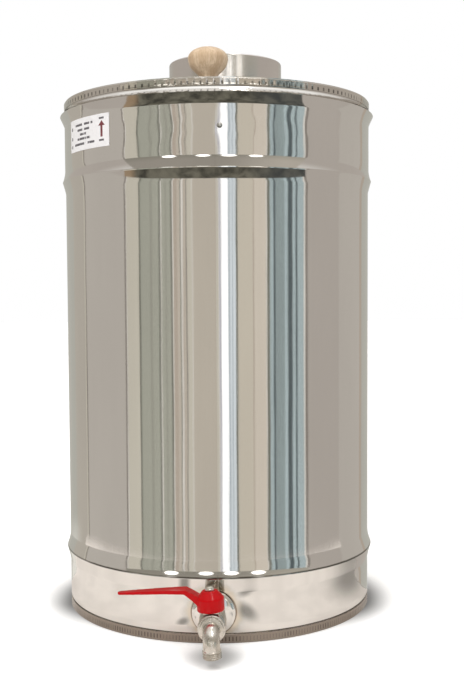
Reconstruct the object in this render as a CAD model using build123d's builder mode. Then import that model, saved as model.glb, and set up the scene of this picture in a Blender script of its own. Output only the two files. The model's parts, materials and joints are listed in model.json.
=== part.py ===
from build123d import *
from math import acos, cos, pi, radians, sin, sqrt, tan
import os

os.makedirs("parts", exist_ok=True)

# A two-comb hand extractor for honey: a stainless drum with a ball tap at its foot, a comb cage on
# an upright shaft, and a bevel drive under a round cover, turned by a crank at the back.
# Units are millimetres. The origin is on the drum's axis at the floor, +Z is up and -Y is the front,
# where the tap is. Heights are over the floor, and tap distances are from the drum's wall outwards.

# ------------------------------------------------------------------------------ driving dimensions
drum_radius = 200.0
drum_sheet = 1.0
rim_height = 656.5
neck_radius = 200.8
tap_height = 37.0
shaft_radius = 8.0
crank_height = 679.0
crank_throw = 130.0
cover_centre = (11.0, 15.0)
cover_radius = 75.0
cover_top = 716.0
running_gap = 0.05            # radial clearance of each running fit
lid_gap = 1.0                 # half the gap between the two half covers
thread_radius = 10.48         # half-inch pipe thread, outside

# heights of the drum's beads: foot, crest and head, and how far each crest stands out
low_bead = (60.0, 78.0, 97.0)
low_bead_rise = 4.2
neck_bead = (540.0, 555.5, 571.0)
neck_bead_rise = 4.0
top_bead = (627.0, 640.0, 648.0)
top_bead_rise = 6.3
seam_height = 11.6
seam_step = 1.4               # how far the wall is drawn in where the bottom seam covers it

# drive: module 2.5 bevel gears, 26 teeth on the crank and 13 on the shaft
gear_module = 2.5
crank_teeth = 26
shaft_teeth = 13
pressure_angle = radians(20)
gear_face = 11.0              # tooth length along the cone
backlash = 0.15

# the comb cage
hoop_half_x = 158.0
hoop_half_y = 116.0
hoop_bar = 6.0
hoop_height = 8.0
hoop_bottoms = (84.0, 318.0, 552.0)
screen_face = 109.9
screen_sheet = 1.2

# the tap
ball_radius = 11.0
ball_distance = 47.0          # ball centre, out from the wall
tap_azimuth = radians(0.45)   # the tap is a little right of the front
tap_lean = radians(3.6)       # it was screwed in a little short of upright, so its top leans left
tap_bore = 6.5
spout_bend = 13.0
spout_start = 67.5
spout_end = 11.3              # height of the spout's mouth
thread_top = 20.0

# ------------------------------------------------------------------------------ shared planes
tap_axis = Plane(
    origin=(drum_radius * sin(tap_azimuth), -drum_radius * cos(tap_azimuth), tap_height),
    x_dir=(cos(tap_azimuth) * cos(tap_lean), sin(tap_azimuth) * cos(tap_lean), sin(tap_lean)),
    z_dir=(sin(tap_azimuth), -cos(tap_azimuth), 0),
)
ball_centre = tap_axis.origin + tap_axis.z_dir * ball_distance
crank_axis = Plane(origin=(0, 0, crank_height), x_dir=(-1, 0, 0), z_dir=(0, 1, 0))
grip_axis = Plane(origin=(0, 0, crank_height - crank_throw), x_dir=(-1, 0, 0), z_dir=(0, 1, 0))
cover_base = Plane(origin=(cover_centre[0], cover_centre[1], 0))


# ------------------------------------------------------------------------------ shared shapes
def side_plane(base):
    """The plane through a base plane's axis: x outwards, y along the axis."""
    return Plane(origin=base.origin, x_dir=base.x_dir, z_dir=-base.y_dir)


def tap_upright(distance):
    """The plane across the tap's leaning upright, at its foot, at a distance out from the wall."""
    crossing = tap_axis.origin + tap_axis.z_dir * distance
    return Plane(origin=crossing - tap_axis.y_dir * tap_height, x_dir=tap_axis.x_dir, z_dir=tap_axis.y_dir)


stem_axis = tap_upright(ball_distance)


def turned(profile, base=Plane.XY, mode=Mode.ADD):
    """Turn a closed outline of (radius, height) corners about the base plane's axis."""
    with BuildSketch(side_plane(base)) as section:
        with BuildLine():
            Polyline(*profile, close=True)
        make_face()
    revolve(section.sketch, axis=Axis(base.origin, base.z_dir), mode=mode)


def tube(bottom, top, outer, inner=0.0, base=Plane.XY, mode=Mode.ADD):
    """A round tube, or a plain bar where inner is 0, between two heights over a base plane."""
    with BuildSketch(base.offset(bottom)) as section:
        Circle(outer)
        if inner > 0:
            Circle(inner, mode=Mode.SUBTRACT)
    extrude(section.sketch, amount=top - bottom, mode=mode)


def block(x, y, z, mode=Mode.ADD):
    """A square-cornered block between pairs of x, y and z limits."""
    with Locations(((x[0] + x[1]) / 2, (y[0] + y[1]) / 2, (z[0] + z[1]) / 2)):
        Box(x[1] - x[0], y[1] - y[0], z[1] - z[0], mode=mode)


def drill(radius, places):
    """Upright holes right through the part being built."""
    with Locations(*places):
        Cylinder(radius, 3 * rim_height, mode=Mode.SUBTRACT)


def round_places(radius, angles):
    """Points on a circle round the drum's axis; angles are in degrees from +X."""
    return [(radius * cos(radians(angle)), radius * sin(radians(angle))) for angle in angles]


def hexagon(bottom, top, flats, bore=0.0, base=Plane.XY):
    """A hexagonal bar or nut between two heights over a base plane."""
    with BuildSketch(base.offset(bottom)) as section:
        RegularPolygon(flats / 2, 6, major_radius=False)
        if bore > 0:
            Circle(bore, mode=Mode.SUBTRACT)
    extrude(section.sketch, amount=top - bottom)


def hex_bolt(seat, shank, length, flats, head):
    """A hexagon bolt: its head stands on the seat plane and its shank goes down through it."""
    tube(-length, 0, shank, base=seat)
    hexagon(0, head, flats, base=seat)


def pan_screw(seat, shank, length, head_radius, head):
    """A screw with a low domed head on the seat plane and its shank down through it."""
    tube(-length, 0, shank, base=seat)
    turned([(0, 0), (head_radius, 0), (head_radius * 0.8, head * 0.75), (0, head)], base=seat)


def on_wall(azimuth, radius, height):
    """A plane on the drum, looking outwards; azimuth is in degrees from the front towards +X."""
    angle = radians(azimuth)
    outward = (sin(angle), -cos(angle), 0)
    place = (radius * outward[0], radius * outward[1], height)
    return Plane(origin=place, x_dir=(cos(angle), sin(angle), 0), z_dir=outward)


# ------------------------------------------------------------------------------ drum
rivet_azimuth = 3.4
rivet_height = 602.5
rivet_radius = 2.0
rivet_hole = 2.1
socket_radius = 13.5
socket_hole = 13.6


def bead(foot, crest, head):
    """A rolled bead of four arcs, upright at its foot, its crest and its head."""
    for end, up in ((foot, 1), (head, -1)):
        middle = ((end[0] + crest[0]) / 2, (end[1] + crest[1]) / 2)
        TangentArc(end, middle, tangent=(0, up))
        TangentArc(crest, middle, tangent=(0, -up))


def wall_line(inset):
    """The wall's line from foot to rim, moved towards the axis by inset; gives its two ends."""
    wall = drum_radius - inset
    neck = neck_radius - inset
    rim = wall - 0.2
    foot_end = (wall - seam_step, 1.5)
    rim_end = (rim, 655.0)
    Polyline(foot_end, (wall - seam_step, seam_height), (wall, seam_height + 2), (wall, low_bead[0]))
    bead((wall, low_bead[0]), (wall + low_bead_rise, low_bead[1]), (wall, low_bead[2]))
    Line((wall, low_bead[2]), (wall, neck_bead[0]))
    bead((wall, neck_bead[0]), (wall + neck_bead_rise, neck_bead[1]), (neck, neck_bead[2]))
    Line((neck, neck_bead[2]), (neck, top_bead[0]))
    bead((neck, top_bead[0]), (wall + top_bead_rise, top_bead[1]), (rim, top_bead[2]))
    Line((rim, top_bead[2]), rim_end)
    return foot_end, rim_end


# wall: one sheet rolled to a cylinder, with three beads pressed outwards
with BuildPart() as drum_shell:
    with BuildSketch(Plane.XZ):
        with BuildLine():
            outer_ends = wall_line(0)
            inner_ends = wall_line(drum_sheet)
            for outer_end, inner_end in zip(outer_ends, inner_ends):
                Line(outer_end, inner_end)
        make_face()
    revolve(axis=Axis.Z)
    tube(-30, 30, socket_hole, base=tap_axis, mode=Mode.SUBTRACT)
    tube(-9, 9, rivet_hole, base=on_wall(rivet_azimuth, drum_radius, rivet_height), mode=Mode.SUBTRACT)
drum_shell.part.label = "drum_shell"
export_step(drum_shell.part, "parts/drum_shell.step")

# bottom: a shallow cone that sheds honey to the wall, with its edge turned down into the seam
cone_edge = 198.9
cone_edge_top = 19.6
cone_flat = 30.0
cone_top = 44.0
panel_sheet = 1.2
with BuildPart() as bottom_panel:
    turned([
        (0, cone_top), (cone_flat, cone_top), (cone_edge, cone_edge_top), (cone_edge, 14.4),
        (197.3, 12.0), (197.3, 1.4), (196.1, 1.4), (196.1, 12.4), (197.7, 14.8),
        (197.7, cone_edge_top - panel_sheet), (cone_flat, cone_top - panel_sheet),
        (0, cone_top - panel_sheet),
    ])
bottom_panel.part.label = "bottom_panel"
export_step(bottom_panel.part, "parts/bottom_panel.step")

# seam: a folded channel that the drum stands on and that clasps the wall and the bottom's edge
with BuildPart() as bottom_seam:
    turned([
        (194.6, 0), (199.95, 0), (199.95, 11.0), (198.75, 11.0),
        (198.75, 1.2), (195.8, 1.2), (195.8, 11.0), (194.6, 11.0),
    ])
bottom_seam.part.label = "bottom_seam"
export_step(bottom_seam.part, "parts/bottom_seam.step")

# rim: a channel turned over the wall's top edge; the half covers rest on it
rear_screw_places = round_places(195.0, (20, 62, 118, 160))
rim_inner = 191.5
rim_outer = 201.2
rim_sheet = 1.2
with BuildPart() as rim_ring:
    turned([
        (rim_inner, 646.0), (rim_inner, rim_height), (rim_outer, rim_height), (rim_outer, 648.2),
        (rim_outer - rim_sheet, 648.2), (rim_outer - rim_sheet, rim_height - rim_sheet),
        (rim_inner + rim_sheet, rim_height - rim_sheet), (rim_inner + rim_sheet, 646.0),
    ])
    drill(2.0, rear_screw_places)
rim_ring.part.label = "rim_ring"
export_step(rim_ring.part, "parts/rim_ring.step")

# spring clip inside the neck that steadies the front lid's skirt, and its rivet
clip_width = 12.0
clip_plane = on_wall(rivet_azimuth, 0, 0)
clip_side = Plane(origin=(0, 0, 0), x_dir=clip_plane.z_dir, z_dir=-clip_plane.x_dir)
with BuildPart() as lid_clip:
    with BuildSketch(clip_side):
        with BuildLine():
            Polyline(
                (199.5, 596), (199.5, 634.2), (192.6, 641), (194.6, 644.9), (194.0, 645.2),
                (191.8, 641), (198.9, 634), (198.9, 596), close=True,
            )
        make_face()
    extrude(amount=clip_width / 2, both=True)
    tube(-9, 9, rivet_hole, base=on_wall(rivet_azimuth, 198, rivet_height), mode=Mode.SUBTRACT)
lid_clip.part.label = "lid_clip"
export_step(lid_clip.part, "parts/lid_clip.step")

with BuildPart() as rim_rivet:
    rivet_seat = on_wall(rivet_azimuth, neck_radius + 0.1, rivet_height)
    tube(-4.0, 0, rivet_radius, base=rivet_seat)
    turned([(0, 0), (3.2, 0), (2.9, 0.9), (1.6, 1.5), (0, 1.6)], base=rivet_seat)
    turned([(0, -2.6), (3.0, -2.6), (2.6, -3.6), (0, -4.0)], base=rivet_seat)
rim_rivet.part.label = "rim_rivet"
export_step(rim_rivet.part, "parts/rim_rivet.step")

# label stuck on the neck
label_start = -62.6
label_sweep = 25.7
label_bottom = 586.5
label_top = 625.5
label_edge = on_wall(label_start, 0, 0)
label_side = Plane(origin=(0, 0, 0), x_dir=label_edge.z_dir, z_dir=-label_edge.x_dir)
with BuildPart() as rating_label:
    with BuildSketch(label_side):
        with BuildLine():
            Polyline(
                (neck_radius + 0.05, label_bottom), (neck_radius + 0.25, label_bottom),
                (neck_radius + 0.25, label_top), (neck_radius + 0.05, label_top), close=True,
            )
        make_face()
    revolve(axis=Axis.Z, revolution_arc=label_sweep)
rating_label.part.label = "rating_label"
export_step(rating_label.part, "parts/rating_label.step")

# ------------------------------------------------------------------------------ bottom bearing
cup_floor = 50.0
cup_top = 70.0
with BuildPart() as bottom_bearing_cup:
    turned([
        (0, cone_top + 0.1), (25, cone_top + 0.1), (25, 47), (18, 47), (18, cup_top),
        (12.05, cup_top), (12.05, cup_floor), (0, cup_floor),
    ])
bottom_bearing_cup.part.label = "bottom_bearing_cup"
export_step(bottom_bearing_cup.part, "parts/bottom_bearing_cup.step")

with BuildPart() as bottom_bush:
    tube(cup_floor + 0.1, cup_top, 12.0, shaft_radius + running_gap)
bottom_bush.part.label = "bottom_bush"
export_step(bottom_bush.part, "parts/bottom_bush.step")

thrust_radius = 6.0
with BuildPart() as thrust_ball:
    with Locations((0, 0, cup_floor + thrust_radius + 0.05)):
        Sphere(thrust_radius)
thrust_ball.part.label = "thrust_ball"
export_step(thrust_ball.part, "parts/thrust_ball.step")

# ------------------------------------------------------------------------------ crossbar
bar_end = 196.0
bar_half_width = 25.0
bar_wall = 2.5
bar_bottom = 575.0
bar_top = 598.0
foot_start = 165.0
foot_sheet = 3.0
bar_bolt_places = [(-180.0, 0.0), (180.0, 0.0)]
housing_bolt_places = round_places(21.0, (45, 135, 225, 315))
m6_hole = 3.2
bolt_hole = 4.2
web_bottom = bar_top - foot_sheet
with BuildPart() as crossbar:
    block((-bar_end, bar_end), (-bar_half_width, bar_half_width), (bar_bottom, bar_top))
    channel = bar_half_width - bar_wall
    block((-foot_start, foot_start), (-channel, channel), (bar_bottom, web_bottom), Mode.SUBTRACT)
    for side in (-1, 1):
        ends = sorted((side * foot_start, side * bar_end))
        block(ends, (-channel, channel), (bar_bottom + foot_sheet, web_bottom), Mode.SUBTRACT)
    tube(web_bottom - 1, bar_top + 1, 14.2, mode=Mode.SUBTRACT)
    drill(bolt_hole, bar_bolt_places)
    drill(m6_hole, housing_bolt_places)
crossbar.part.label = "crossbar"
export_step(crossbar.part, "parts/crossbar.step")

# brackets welded to the wall, one under each end of the crossbar
bracket_top = bar_bottom - 0.2
bracket_radius = 198.7
with BuildPart() as crossbar_brackets:
    tube(545, bracket_top, bracket_radius)
    block((-210, 210), (25, 210), (540, 580), Mode.SUBTRACT)
    block((-210, 210), (-210, -25), (540, 580), Mode.SUBTRACT)
    block((-160, 160), (-26, 26), (540, 580), Mode.SUBTRACT)
    block((-195, 195), (-26, 26), (540, bracket_top - foot_sheet), Mode.SUBTRACT)
    drill(bolt_hole, bar_bolt_places)
crossbar_brackets.part.label = "crossbar_brackets"
export_step(crossbar_brackets.part, "parts/crossbar_brackets.step")

with BuildPart() as crossbar_bolts:
    for x, y in bar_bolt_places:
        bolt_axis = Plane(origin=(x, y, 0))
        hex_bolt(bolt_axis.offset(bar_bottom + foot_sheet + 0.05), 4.0, 13.8, 13.0, 5.3)
        hexagon(565.4, bracket_top - foot_sheet - 0.05, 13.0, 4.05, bolt_axis)
crossbar_bolts.part.label = "crossbar_bolts"
export_step(crossbar_bolts.part, "parts/crossbar_bolts.step")

# ------------------------------------------------------------------------------ gear housing
pan_sheet = 2.0
pan_bottom = bar_top + 0.05
pan_top = pan_bottom + pan_sheet
pan_radius = 73.4
pan_flange_top = 614.0
cover_screw_height = 607.0
cover_screw_angles = (30, 150, 270)
bracket_bolt_places = [(-20.0, 56.0), (20.0, 56.0)]


def radial_screw_planes(radius):
    """Planes round the cover's axis, looking outwards, one for each of its side screws."""
    planes = []
    for angle in cover_screw_angles:
        outward = (cos(radians(angle)), sin(radians(angle)), 0)
        place = (
            cover_centre[0] + radius * outward[0],
            cover_centre[1] + radius * outward[1],
            cover_screw_height,
        )
        planes.append(Plane(origin=place, x_dir=(0, 0, 1), z_dir=outward))
    return planes


with BuildPart() as housing_base:
    tube(pan_bottom, pan_top, pan_radius, base=cover_base)
    tube(pan_top - 0.01, pan_flange_top, pan_radius, pan_radius - 1.5, base=cover_base)
    tube(pan_bottom - 1, pan_top + 1, 14.1, mode=Mode.SUBTRACT)
    drill(m6_hole, housing_bolt_places)
    drill(m6_hole, bracket_bolt_places)
    for screw_plane in radial_screw_planes(pan_radius):
        tube(-5, 5, 2.1, base=screw_plane, mode=Mode.SUBTRACT)
housing_base.part.label = "housing_base"
export_step(housing_base.part, "parts/housing_base.step")

housing_bottom = pan_top + 0.05
housing_flange = housing_bottom + 6
with BuildPart() as upper_bearing_housing:
    turned([
        (11.05, 590), (14, 590), (14, housing_bottom), (27.5, housing_bottom),
        (27.5, housing_flange), (15, housing_flange), (15, 622), (11.05, 622),
    ])
    drill(m6_hole, housing_bolt_places)
upper_bearing_housing.part.label = "upper_bearing_housing"
export_step(upper_bearing_housing.part, "parts/upper_bearing_housing.step")

with BuildPart() as upper_bush:
    tube(590, 624.6, 11.0, shaft_radius + running_gap)
    tube(622.1, 624.6, 14.0, shaft_radius + running_gap)
upper_bush.part.label = "upper_bush"
export_step(upper_bush.part, "parts/upper_bush.step")

with BuildPart() as housing_bolts:
    for x, y in housing_bolt_places:
        bolt_axis = Plane(origin=(x, y, 0))
        tube(housing_flange + 0.05, housing_flange + 5, 5.0, base=bolt_axis)
        tube(588.5, housing_flange + 0.5, 3.0, base=bolt_axis)
        hexagon(589.5, web_bottom - 0.05, 10.0, 3.05, bolt_axis)
housing_bolts.part.label = "housing_bolts"
export_step(housing_bolts.part, "parts/housing_bolts.step")

# bearing bracket of the crank shaft, on the pan behind the gears
bracket_foot_top = 607.0
bracket_wall = (34.0, 44.0)
bearing_hole = 10.05
with BuildPart() as crank_bracket:
    block((-34, 34), (34, 66), (housing_bottom, bracket_foot_top))
    with BuildSketch(crank_axis.offset(bracket_wall[0])):
        with BuildLine():
            wall_foot = bracket_foot_top - crank_height
            Polyline((-17, 0), (-26, wall_foot), (26, wall_foot), (17, 0))
            ThreePointArc((-17, 0), (0, 17), (17, 0))
        make_face()
    extrude(amount=bracket_wall[1] - bracket_wall[0])
    with BuildSketch(Plane.YZ):
        with BuildLine():
            Polyline((43, 606), (43, 650), (60, 606), close=True)
        make_face()
    extrude(amount=3, both=True)
    tube(30, 50, bearing_hole, base=crank_axis, mode=Mode.SUBTRACT)
    drill(m6_hole, bracket_bolt_places)
crank_bracket.part.label = "crank_bracket"
export_step(crank_bracket.part, "parts/crank_bracket.step")

crank_shaft_radius = 7.0
with BuildPart() as crank_inner_bush:
    tube(32, 46, 10.0, crank_shaft_radius + running_gap, crank_axis)
    tube(32, 33.9, 13.0, crank_shaft_radius + running_gap, crank_axis)
crank_inner_bush.part.label = "crank_inner_bush"
export_step(crank_inner_bush.part, "parts/crank_inner_bush.step")

with BuildPart() as bracket_bolts:
    for x, y in bracket_bolt_places:
        bolt_axis = Plane(origin=(x, y, 0))
        hex_bolt(bolt_axis.offset(bracket_foot_top + 0.05), 3.0, 16, 10.0, 4.0)
        hexagon(592.5, pan_bottom - 0.05, 10.0, 3.05, bolt_axis)
bracket_bolts.part.label = "bracket_bolts"
export_step(bracket_bolts.part, "parts/bracket_bolts.step")

# round cover over the gears; a slot in its back lets it lift off over the crank shaft
cover_sheet = 1.2
cover_bottom = 600.5
cover_slot = 17.0
with BuildPart() as gear_cover:
    tube(cover_bottom, cover_top, cover_radius, base=cover_base)
    inner_top = cover_top - cover_sheet
    tube(cover_bottom - 1, inner_top, cover_radius - cover_sheet, base=cover_base, mode=Mode.SUBTRACT)
    half_slot = cover_slot / 2
    block((-half_slot, half_slot), (60, 100), (cover_bottom - 1, crank_height), Mode.SUBTRACT)
    tube(60, 100, half_slot, base=crank_axis, mode=Mode.SUBTRACT)
    for screw_plane in radial_screw_planes(cover_radius):
        tube(-5, 5, 2.1, base=screw_plane, mode=Mode.SUBTRACT)
gear_cover.part.label = "gear_cover"
export_step(gear_cover.part, "parts/gear_cover.step")

with BuildPart() as gear_cover_screws:
    for screw_plane in radial_screw_planes(cover_radius + 0.05):
        pan_screw(screw_plane, 2.0, 6.0, 3.5, 2.0)
gear_cover_screws.part.label = "gear_cover_screws"
export_step(gear_cover_screws.part, "parts/gear_cover_screws.step")

# ------------------------------------------------------------------------------ half covers
plate_bottom = rim_height + 0.1
plate_sheet = 1.2
plate_top = plate_bottom + plate_sheet
plate_radius = 199.8
skirt_outer = 190.9
skirt_bottom = 644.0
cover_cutout = 77.0


def half_plate(side):
    """A half disc with a round cut-out for the gear cover, a skirt and a folded straight edge."""
    tube(plate_bottom, plate_top, plate_radius)
    tube(skirt_bottom, plate_bottom + 0.01, skirt_outer, skirt_outer - 1.0)
    edge = sorted((side * lid_gap, side * (lid_gap + 1)))
    block((-skirt_outer + 0.5, skirt_outer - 0.5), edge, (skirt_bottom, plate_bottom + 0.01))
    away = sorted((side * lid_gap, -side * 220))
    block((-220, 220), away, (600, 700), Mode.SUBTRACT)
    tube(600, 700, cover_cutout, base=cover_base, mode=Mode.SUBTRACT)


pedestal_bolt_places = [(-21.0, 177.0), (21.0, 177.0)]
with BuildPart() as rear_cover:
    half_plate(1)
    drill(2.0, rear_screw_places)
    drill(m6_hole, pedestal_bolt_places)
rear_cover.part.label = "rear_cover"
export_step(rear_cover.part, "parts/rear_cover.step")

with BuildPart() as rear_cover_screws:
    for x, y in rear_screw_places:
        pan_screw(Plane(origin=(x, y, plate_top + 0.05)), 1.9, 7.0, 3.6, 2.0)
rear_cover_screws.part.label = "rear_cover_screws"
export_step(rear_cover_screws.part, "parts/rear_cover_screws.step")

# outer bearing of the crank shaft, on the rear cover
pedestal_bottom = plate_top + 0.1
pedestal_foot_top = 663.0
with BuildPart() as crank_pedestal:
    block((-28, 28), (160, 194), (pedestal_bottom, pedestal_foot_top))
    with BuildSketch(crank_axis.offset(168)):
        with BuildLine():
            wall_foot = pedestal_foot_top - crank_height
            Polyline((-14, 0), (-14, wall_foot), (14, wall_foot), (14, 0))
            ThreePointArc((-14, 0), (0, 14), (14, 0))
        make_face()
    extrude(amount=20)
    tube(150, 200, bearing_hole, base=crank_axis, mode=Mode.SUBTRACT)
    drill(m6_hole, pedestal_bolt_places)
crank_pedestal.part.label = "crank_pedestal"
export_step(crank_pedestal.part, "parts/crank_pedestal.step")

with BuildPart() as crank_outer_bush:
    tube(166, 190, 10.0, crank_shaft_radius + running_gap, crank_axis)
crank_outer_bush.part.label = "crank_outer_bush"
export_step(crank_outer_bush.part, "parts/crank_outer_bush.step")

with BuildPart() as pedestal_bolts:
    for x, y in pedestal_bolt_places:
        bolt_axis = Plane(origin=(x, y, 0))
        hex_bolt(bolt_axis.offset(pedestal_foot_top + 0.05), 3.0, 13, 10.0, 4.0)
        hexagon(651.5, plate_bottom - 0.05, 10.0, 3.05, bolt_axis)
pedestal_bolts.part.label = "pedestal_bolts"
export_step(pedestal_bolts.part, "parts/pedestal_bolts.step")

# loose front half, with a wooden knob screwed on from below
knob_place = (-4.0, -140.0)
knob_height = 46.7
knob_radius = 24.2
knob_belly = 32.5             # height of the knob's widest ring
with BuildPart() as front_lid:
    half_plate(-1)
    drill(2.6, [knob_place])
front_lid.part.label = "front_lid"
export_step(front_lid.part, "parts/front_lid.step")

knob_base = Plane(origin=(knob_place[0], knob_place[1], plate_top + 0.1))
with BuildPart() as lid_knob:
    with BuildSketch(side_plane(knob_base)):
        with BuildLine():
            Line((0, 0), (11, 0))
            Spline((11, 0), (9.8, 5), (10.6, 11), (18, 19), (22.2, 24.6), (knob_radius, knob_belly))
            dome_height = knob_height - knob_belly
            dome = EllipticalCenterArc((0, knob_belly), knob_radius, dome_height, 0, arc_size=84)
            Polyline(dome @ 1, (0, (dome @ 1).Y), (0, 0))
        make_face()
    revolve(axis=Axis(knob_base.origin, knob_base.z_dir))
    tube(-1, 22, 2.6, base=knob_base, mode=Mode.SUBTRACT)
lid_knob.part.label = "lid_knob"
export_step(lid_knob.part, "parts/lid_knob.step")

with BuildPart() as knob_screw:
    screw_base = Plane(origin=(knob_place[0], knob_place[1], plate_bottom - 0.05), z_dir=(0, 0, -1))
    pan_screw(screw_base, 2.5, 21.0, 5.0, 2.6)
knob_screw.part.label = "knob_screw"
export_step(knob_screw.part, "parts/knob_screw.step")

# ------------------------------------------------------------------------------ tap
body_end = 62.0
hex_start = 9.6
cavity_start = 36.5
cavity_radius = 12.2
tower_top = 57.0
packing_floor = 51.0
packing_radius = 7.1
stem_radius = 4.0
stem_hole = stem_radius + running_gap

with BuildPart() as tap_socket:
    tube(-17, 8, socket_radius, 10.5, tap_axis)
tap_socket.part.label = "tap_socket"
export_step(tap_socket.part, "parts/tap_socket.step")

with BuildPart() as tap_escutcheon:
    turned([
        (26, 1.0), (25.2, 3.4), (22, 5.4), (13.7, 7.0),
        (13.7, 5.7), (21.6, 4.2), (24, 2.6), (24.8, 1.0),
    ], base=tap_axis)
tap_escutcheon.part.label = "tap_escutcheon"
export_step(tap_escutcheon.part, "parts/tap_escutcheon.step")

with BuildPart() as tap_seal:
    tube(8.05, hex_start - 0.05, 13.4, 10.5, tap_axis)
tap_seal.part.label = "tap_seal"
export_step(tap_seal.part, "parts/tap_seal.step")

with BuildPart() as tap_body:
    tube(-6, hex_start + 0.01, 10.4, base=tap_axis)
    hexagon(hex_start, 18, 28.0, base=tap_axis)
    tube(18, 26.01, 12.0, base=tap_axis)
    barrel = [(0, 26), (14.5, 26), (16, 27.5), (16, 60.5), (14.8, body_end), (0, body_end)]
    turned(barrel, base=tap_axis)
    tube(tap_height, tower_top, 9.0, base=stem_axis)
    tube(cavity_start, body_end + 1, cavity_radius, base=tap_axis, mode=Mode.SUBTRACT)
    tube(-7, cavity_start + 1, tap_bore, base=tap_axis, mode=Mode.SUBTRACT)
    tube(tap_height, tower_top + 1, stem_hole, base=stem_axis, mode=Mode.SUBTRACT)
    tube(packing_floor, tower_top + 1, packing_radius, base=stem_axis, mode=Mode.SUBTRACT)
tap_body.part.label = "tap_body"
export_step(tap_body.part, "parts/tap_body.step")

# spout: screwed into the body, bent down through a right angle, with a hose thread at its end
with BuildPart() as tap_spout:
    tube(57.5, body_end, 12.1, base=tap_axis)
    shoulder = [(0, body_end), (14, body_end), (14, 66.5), (12.8, spout_start), (0, spout_start)]
    turned(shoulder, base=tap_axis)
    spout_plane = Plane(origin=tap_axis.origin, x_dir=tap_axis.z_dir, z_dir=-tap_axis.x_dir)
    with BuildLine(spout_plane) as spout_path:
        Line((body_end, 0), (spout_start, 0))
        RadiusArc((spout_start, 0), (spout_start + spout_bend, -spout_bend), spout_bend)
        Line((spout_start + spout_bend, -spout_bend), (spout_start + spout_bend, spout_end - tap_height))
    with BuildSketch(tap_axis.offset(body_end)):
        Circle(9.5)
    sweep(path=spout_path.line)
    spout_axis = tap_upright(spout_start + spout_bend)
    tube(spout_end, thread_top, thread_radius, base=spout_axis)
    with BuildSketch(tap_axis.offset(body_end)):
        Circle(tap_bore)
    sweep(path=spout_path.line, mode=Mode.SUBTRACT)
    tube(50, body_end + 1, tap_bore, base=tap_axis, mode=Mode.SUBTRACT)
tap_spout.part.label = "tap_spout"
export_step(tap_spout.part, "parts/tap_spout.step")

with BuildPart() as tap_seats:
    tube(cavity_start + 0.1, 41, 12.1, 7.0, tap_axis)
    tube(53, 57.4, 12.1, 7.0, tap_axis)
    with Locations(ball_centre):
        Sphere(ball_radius + running_gap, mode=Mode.SUBTRACT)
tap_seats.part.label = "tap_seats"
export_step(tap_seats.part, "parts/tap_seats.step")

with BuildPart() as tap_packing:
    tube(packing_floor + 0.05, 54.4, 7.0, stem_hole, stem_axis)
tap_packing.part.label = "tap_packing"
export_step(tap_packing.part, "parts/tap_packing.step")

with BuildPart() as tap_packing_nut:
    tube(54.5, 57.3, 7.0, stem_hole, stem_axis)
    hexagon(57.2, 61.5, 14.0, stem_hole, stem_axis)
tap_packing_nut.part.label = "tap_packing_nut"
export_step(tap_packing_nut.part, "parts/tap_packing_nut.step")

# turning set: ball, stem, lever and its nut
tang_half = 1.45
tang_height = 4.8
slot_floor = 44.0
lever_top = 77.4
arm_tip = -103.9
arm_round = -99.6             # where the arm's end starts to round off
with BuildPart() as tap_ball:
    with Locations(ball_centre):
        Sphere(ball_radius)
    with Locations(Plane(origin=ball_centre, z_dir=stem_axis.x_dir)):
        Cylinder(tap_bore, 3 * ball_radius, mode=Mode.SUBTRACT)
    with Locations(stem_axis.offset(slot_floor + 3)):
        Box(3, 2 * ball_radius, 6, mode=Mode.SUBTRACT)
tap_ball.part.label = "tap_ball"
export_step(tap_ball.part, "parts/tap_ball.step")

with BuildPart() as tap_stem:
    tube(48.2, 80, stem_radius, base=stem_axis)
    with Locations(stem_axis.offset(slot_floor + 0.2 + tang_height / 2)):
        Box(2 * tang_half, 7.2, tang_height)
tap_stem.part.label = "tap_stem"
export_step(tap_stem.part, "parts/tap_stem.step")

with BuildPart() as tap_lever:
    with BuildSketch(side_plane(stem_axis)):
        with BuildLine():
            Polyline(
                (-10, 60), (-10, 70.5), (-26.5, 81.0), (-50, 81.6), (arm_tip, 81.9),
                (arm_tip, 79.0), (-50, 77.6), (-28.5, 76.2), (-13, 60), close=True,
            )
        make_face()
    extrude(amount=10, both=True)
    with BuildSketch(stem_axis.offset(50)):
        with BuildLine():
            Polyline((arm_round, 4.35), (-30, 9.8), (0, 9.8), (0, -9.8), (-30, -9.8), (arm_round, -4.35))
            ThreePointArc((arm_round, -4.35), (arm_tip, 0), (arm_round, 4.35))
        make_face()
    extrude(amount=40, mode=Mode.INTERSECT)
    turned([(0, lever_top), (8.5, lever_top), (16, 69), (15.6, 54.5), (0, 54.5)], base=stem_axis)
    turned([(0, lever_top - 2.2), (7.6, lever_top - 2.2), (13, 69.4), (12.6, 53), (0, 53)],
           base=stem_axis, mode=Mode.SUBTRACT)
    tube(60, 90, stem_radius + 0.05, base=stem_axis, mode=Mode.SUBTRACT)
tap_lever.part.label = "tap_lever"
export_step(tap_lever.part, "parts/tap_lever.step")

with BuildPart() as lever_nut:
    hexagon(lever_top + 0.1, 82.5, 10.0, stem_radius + 0.05, stem_axis)
lever_nut.part.label = "lever_nut"
export_step(lever_nut.part, "parts/lever_nut.step")

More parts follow.
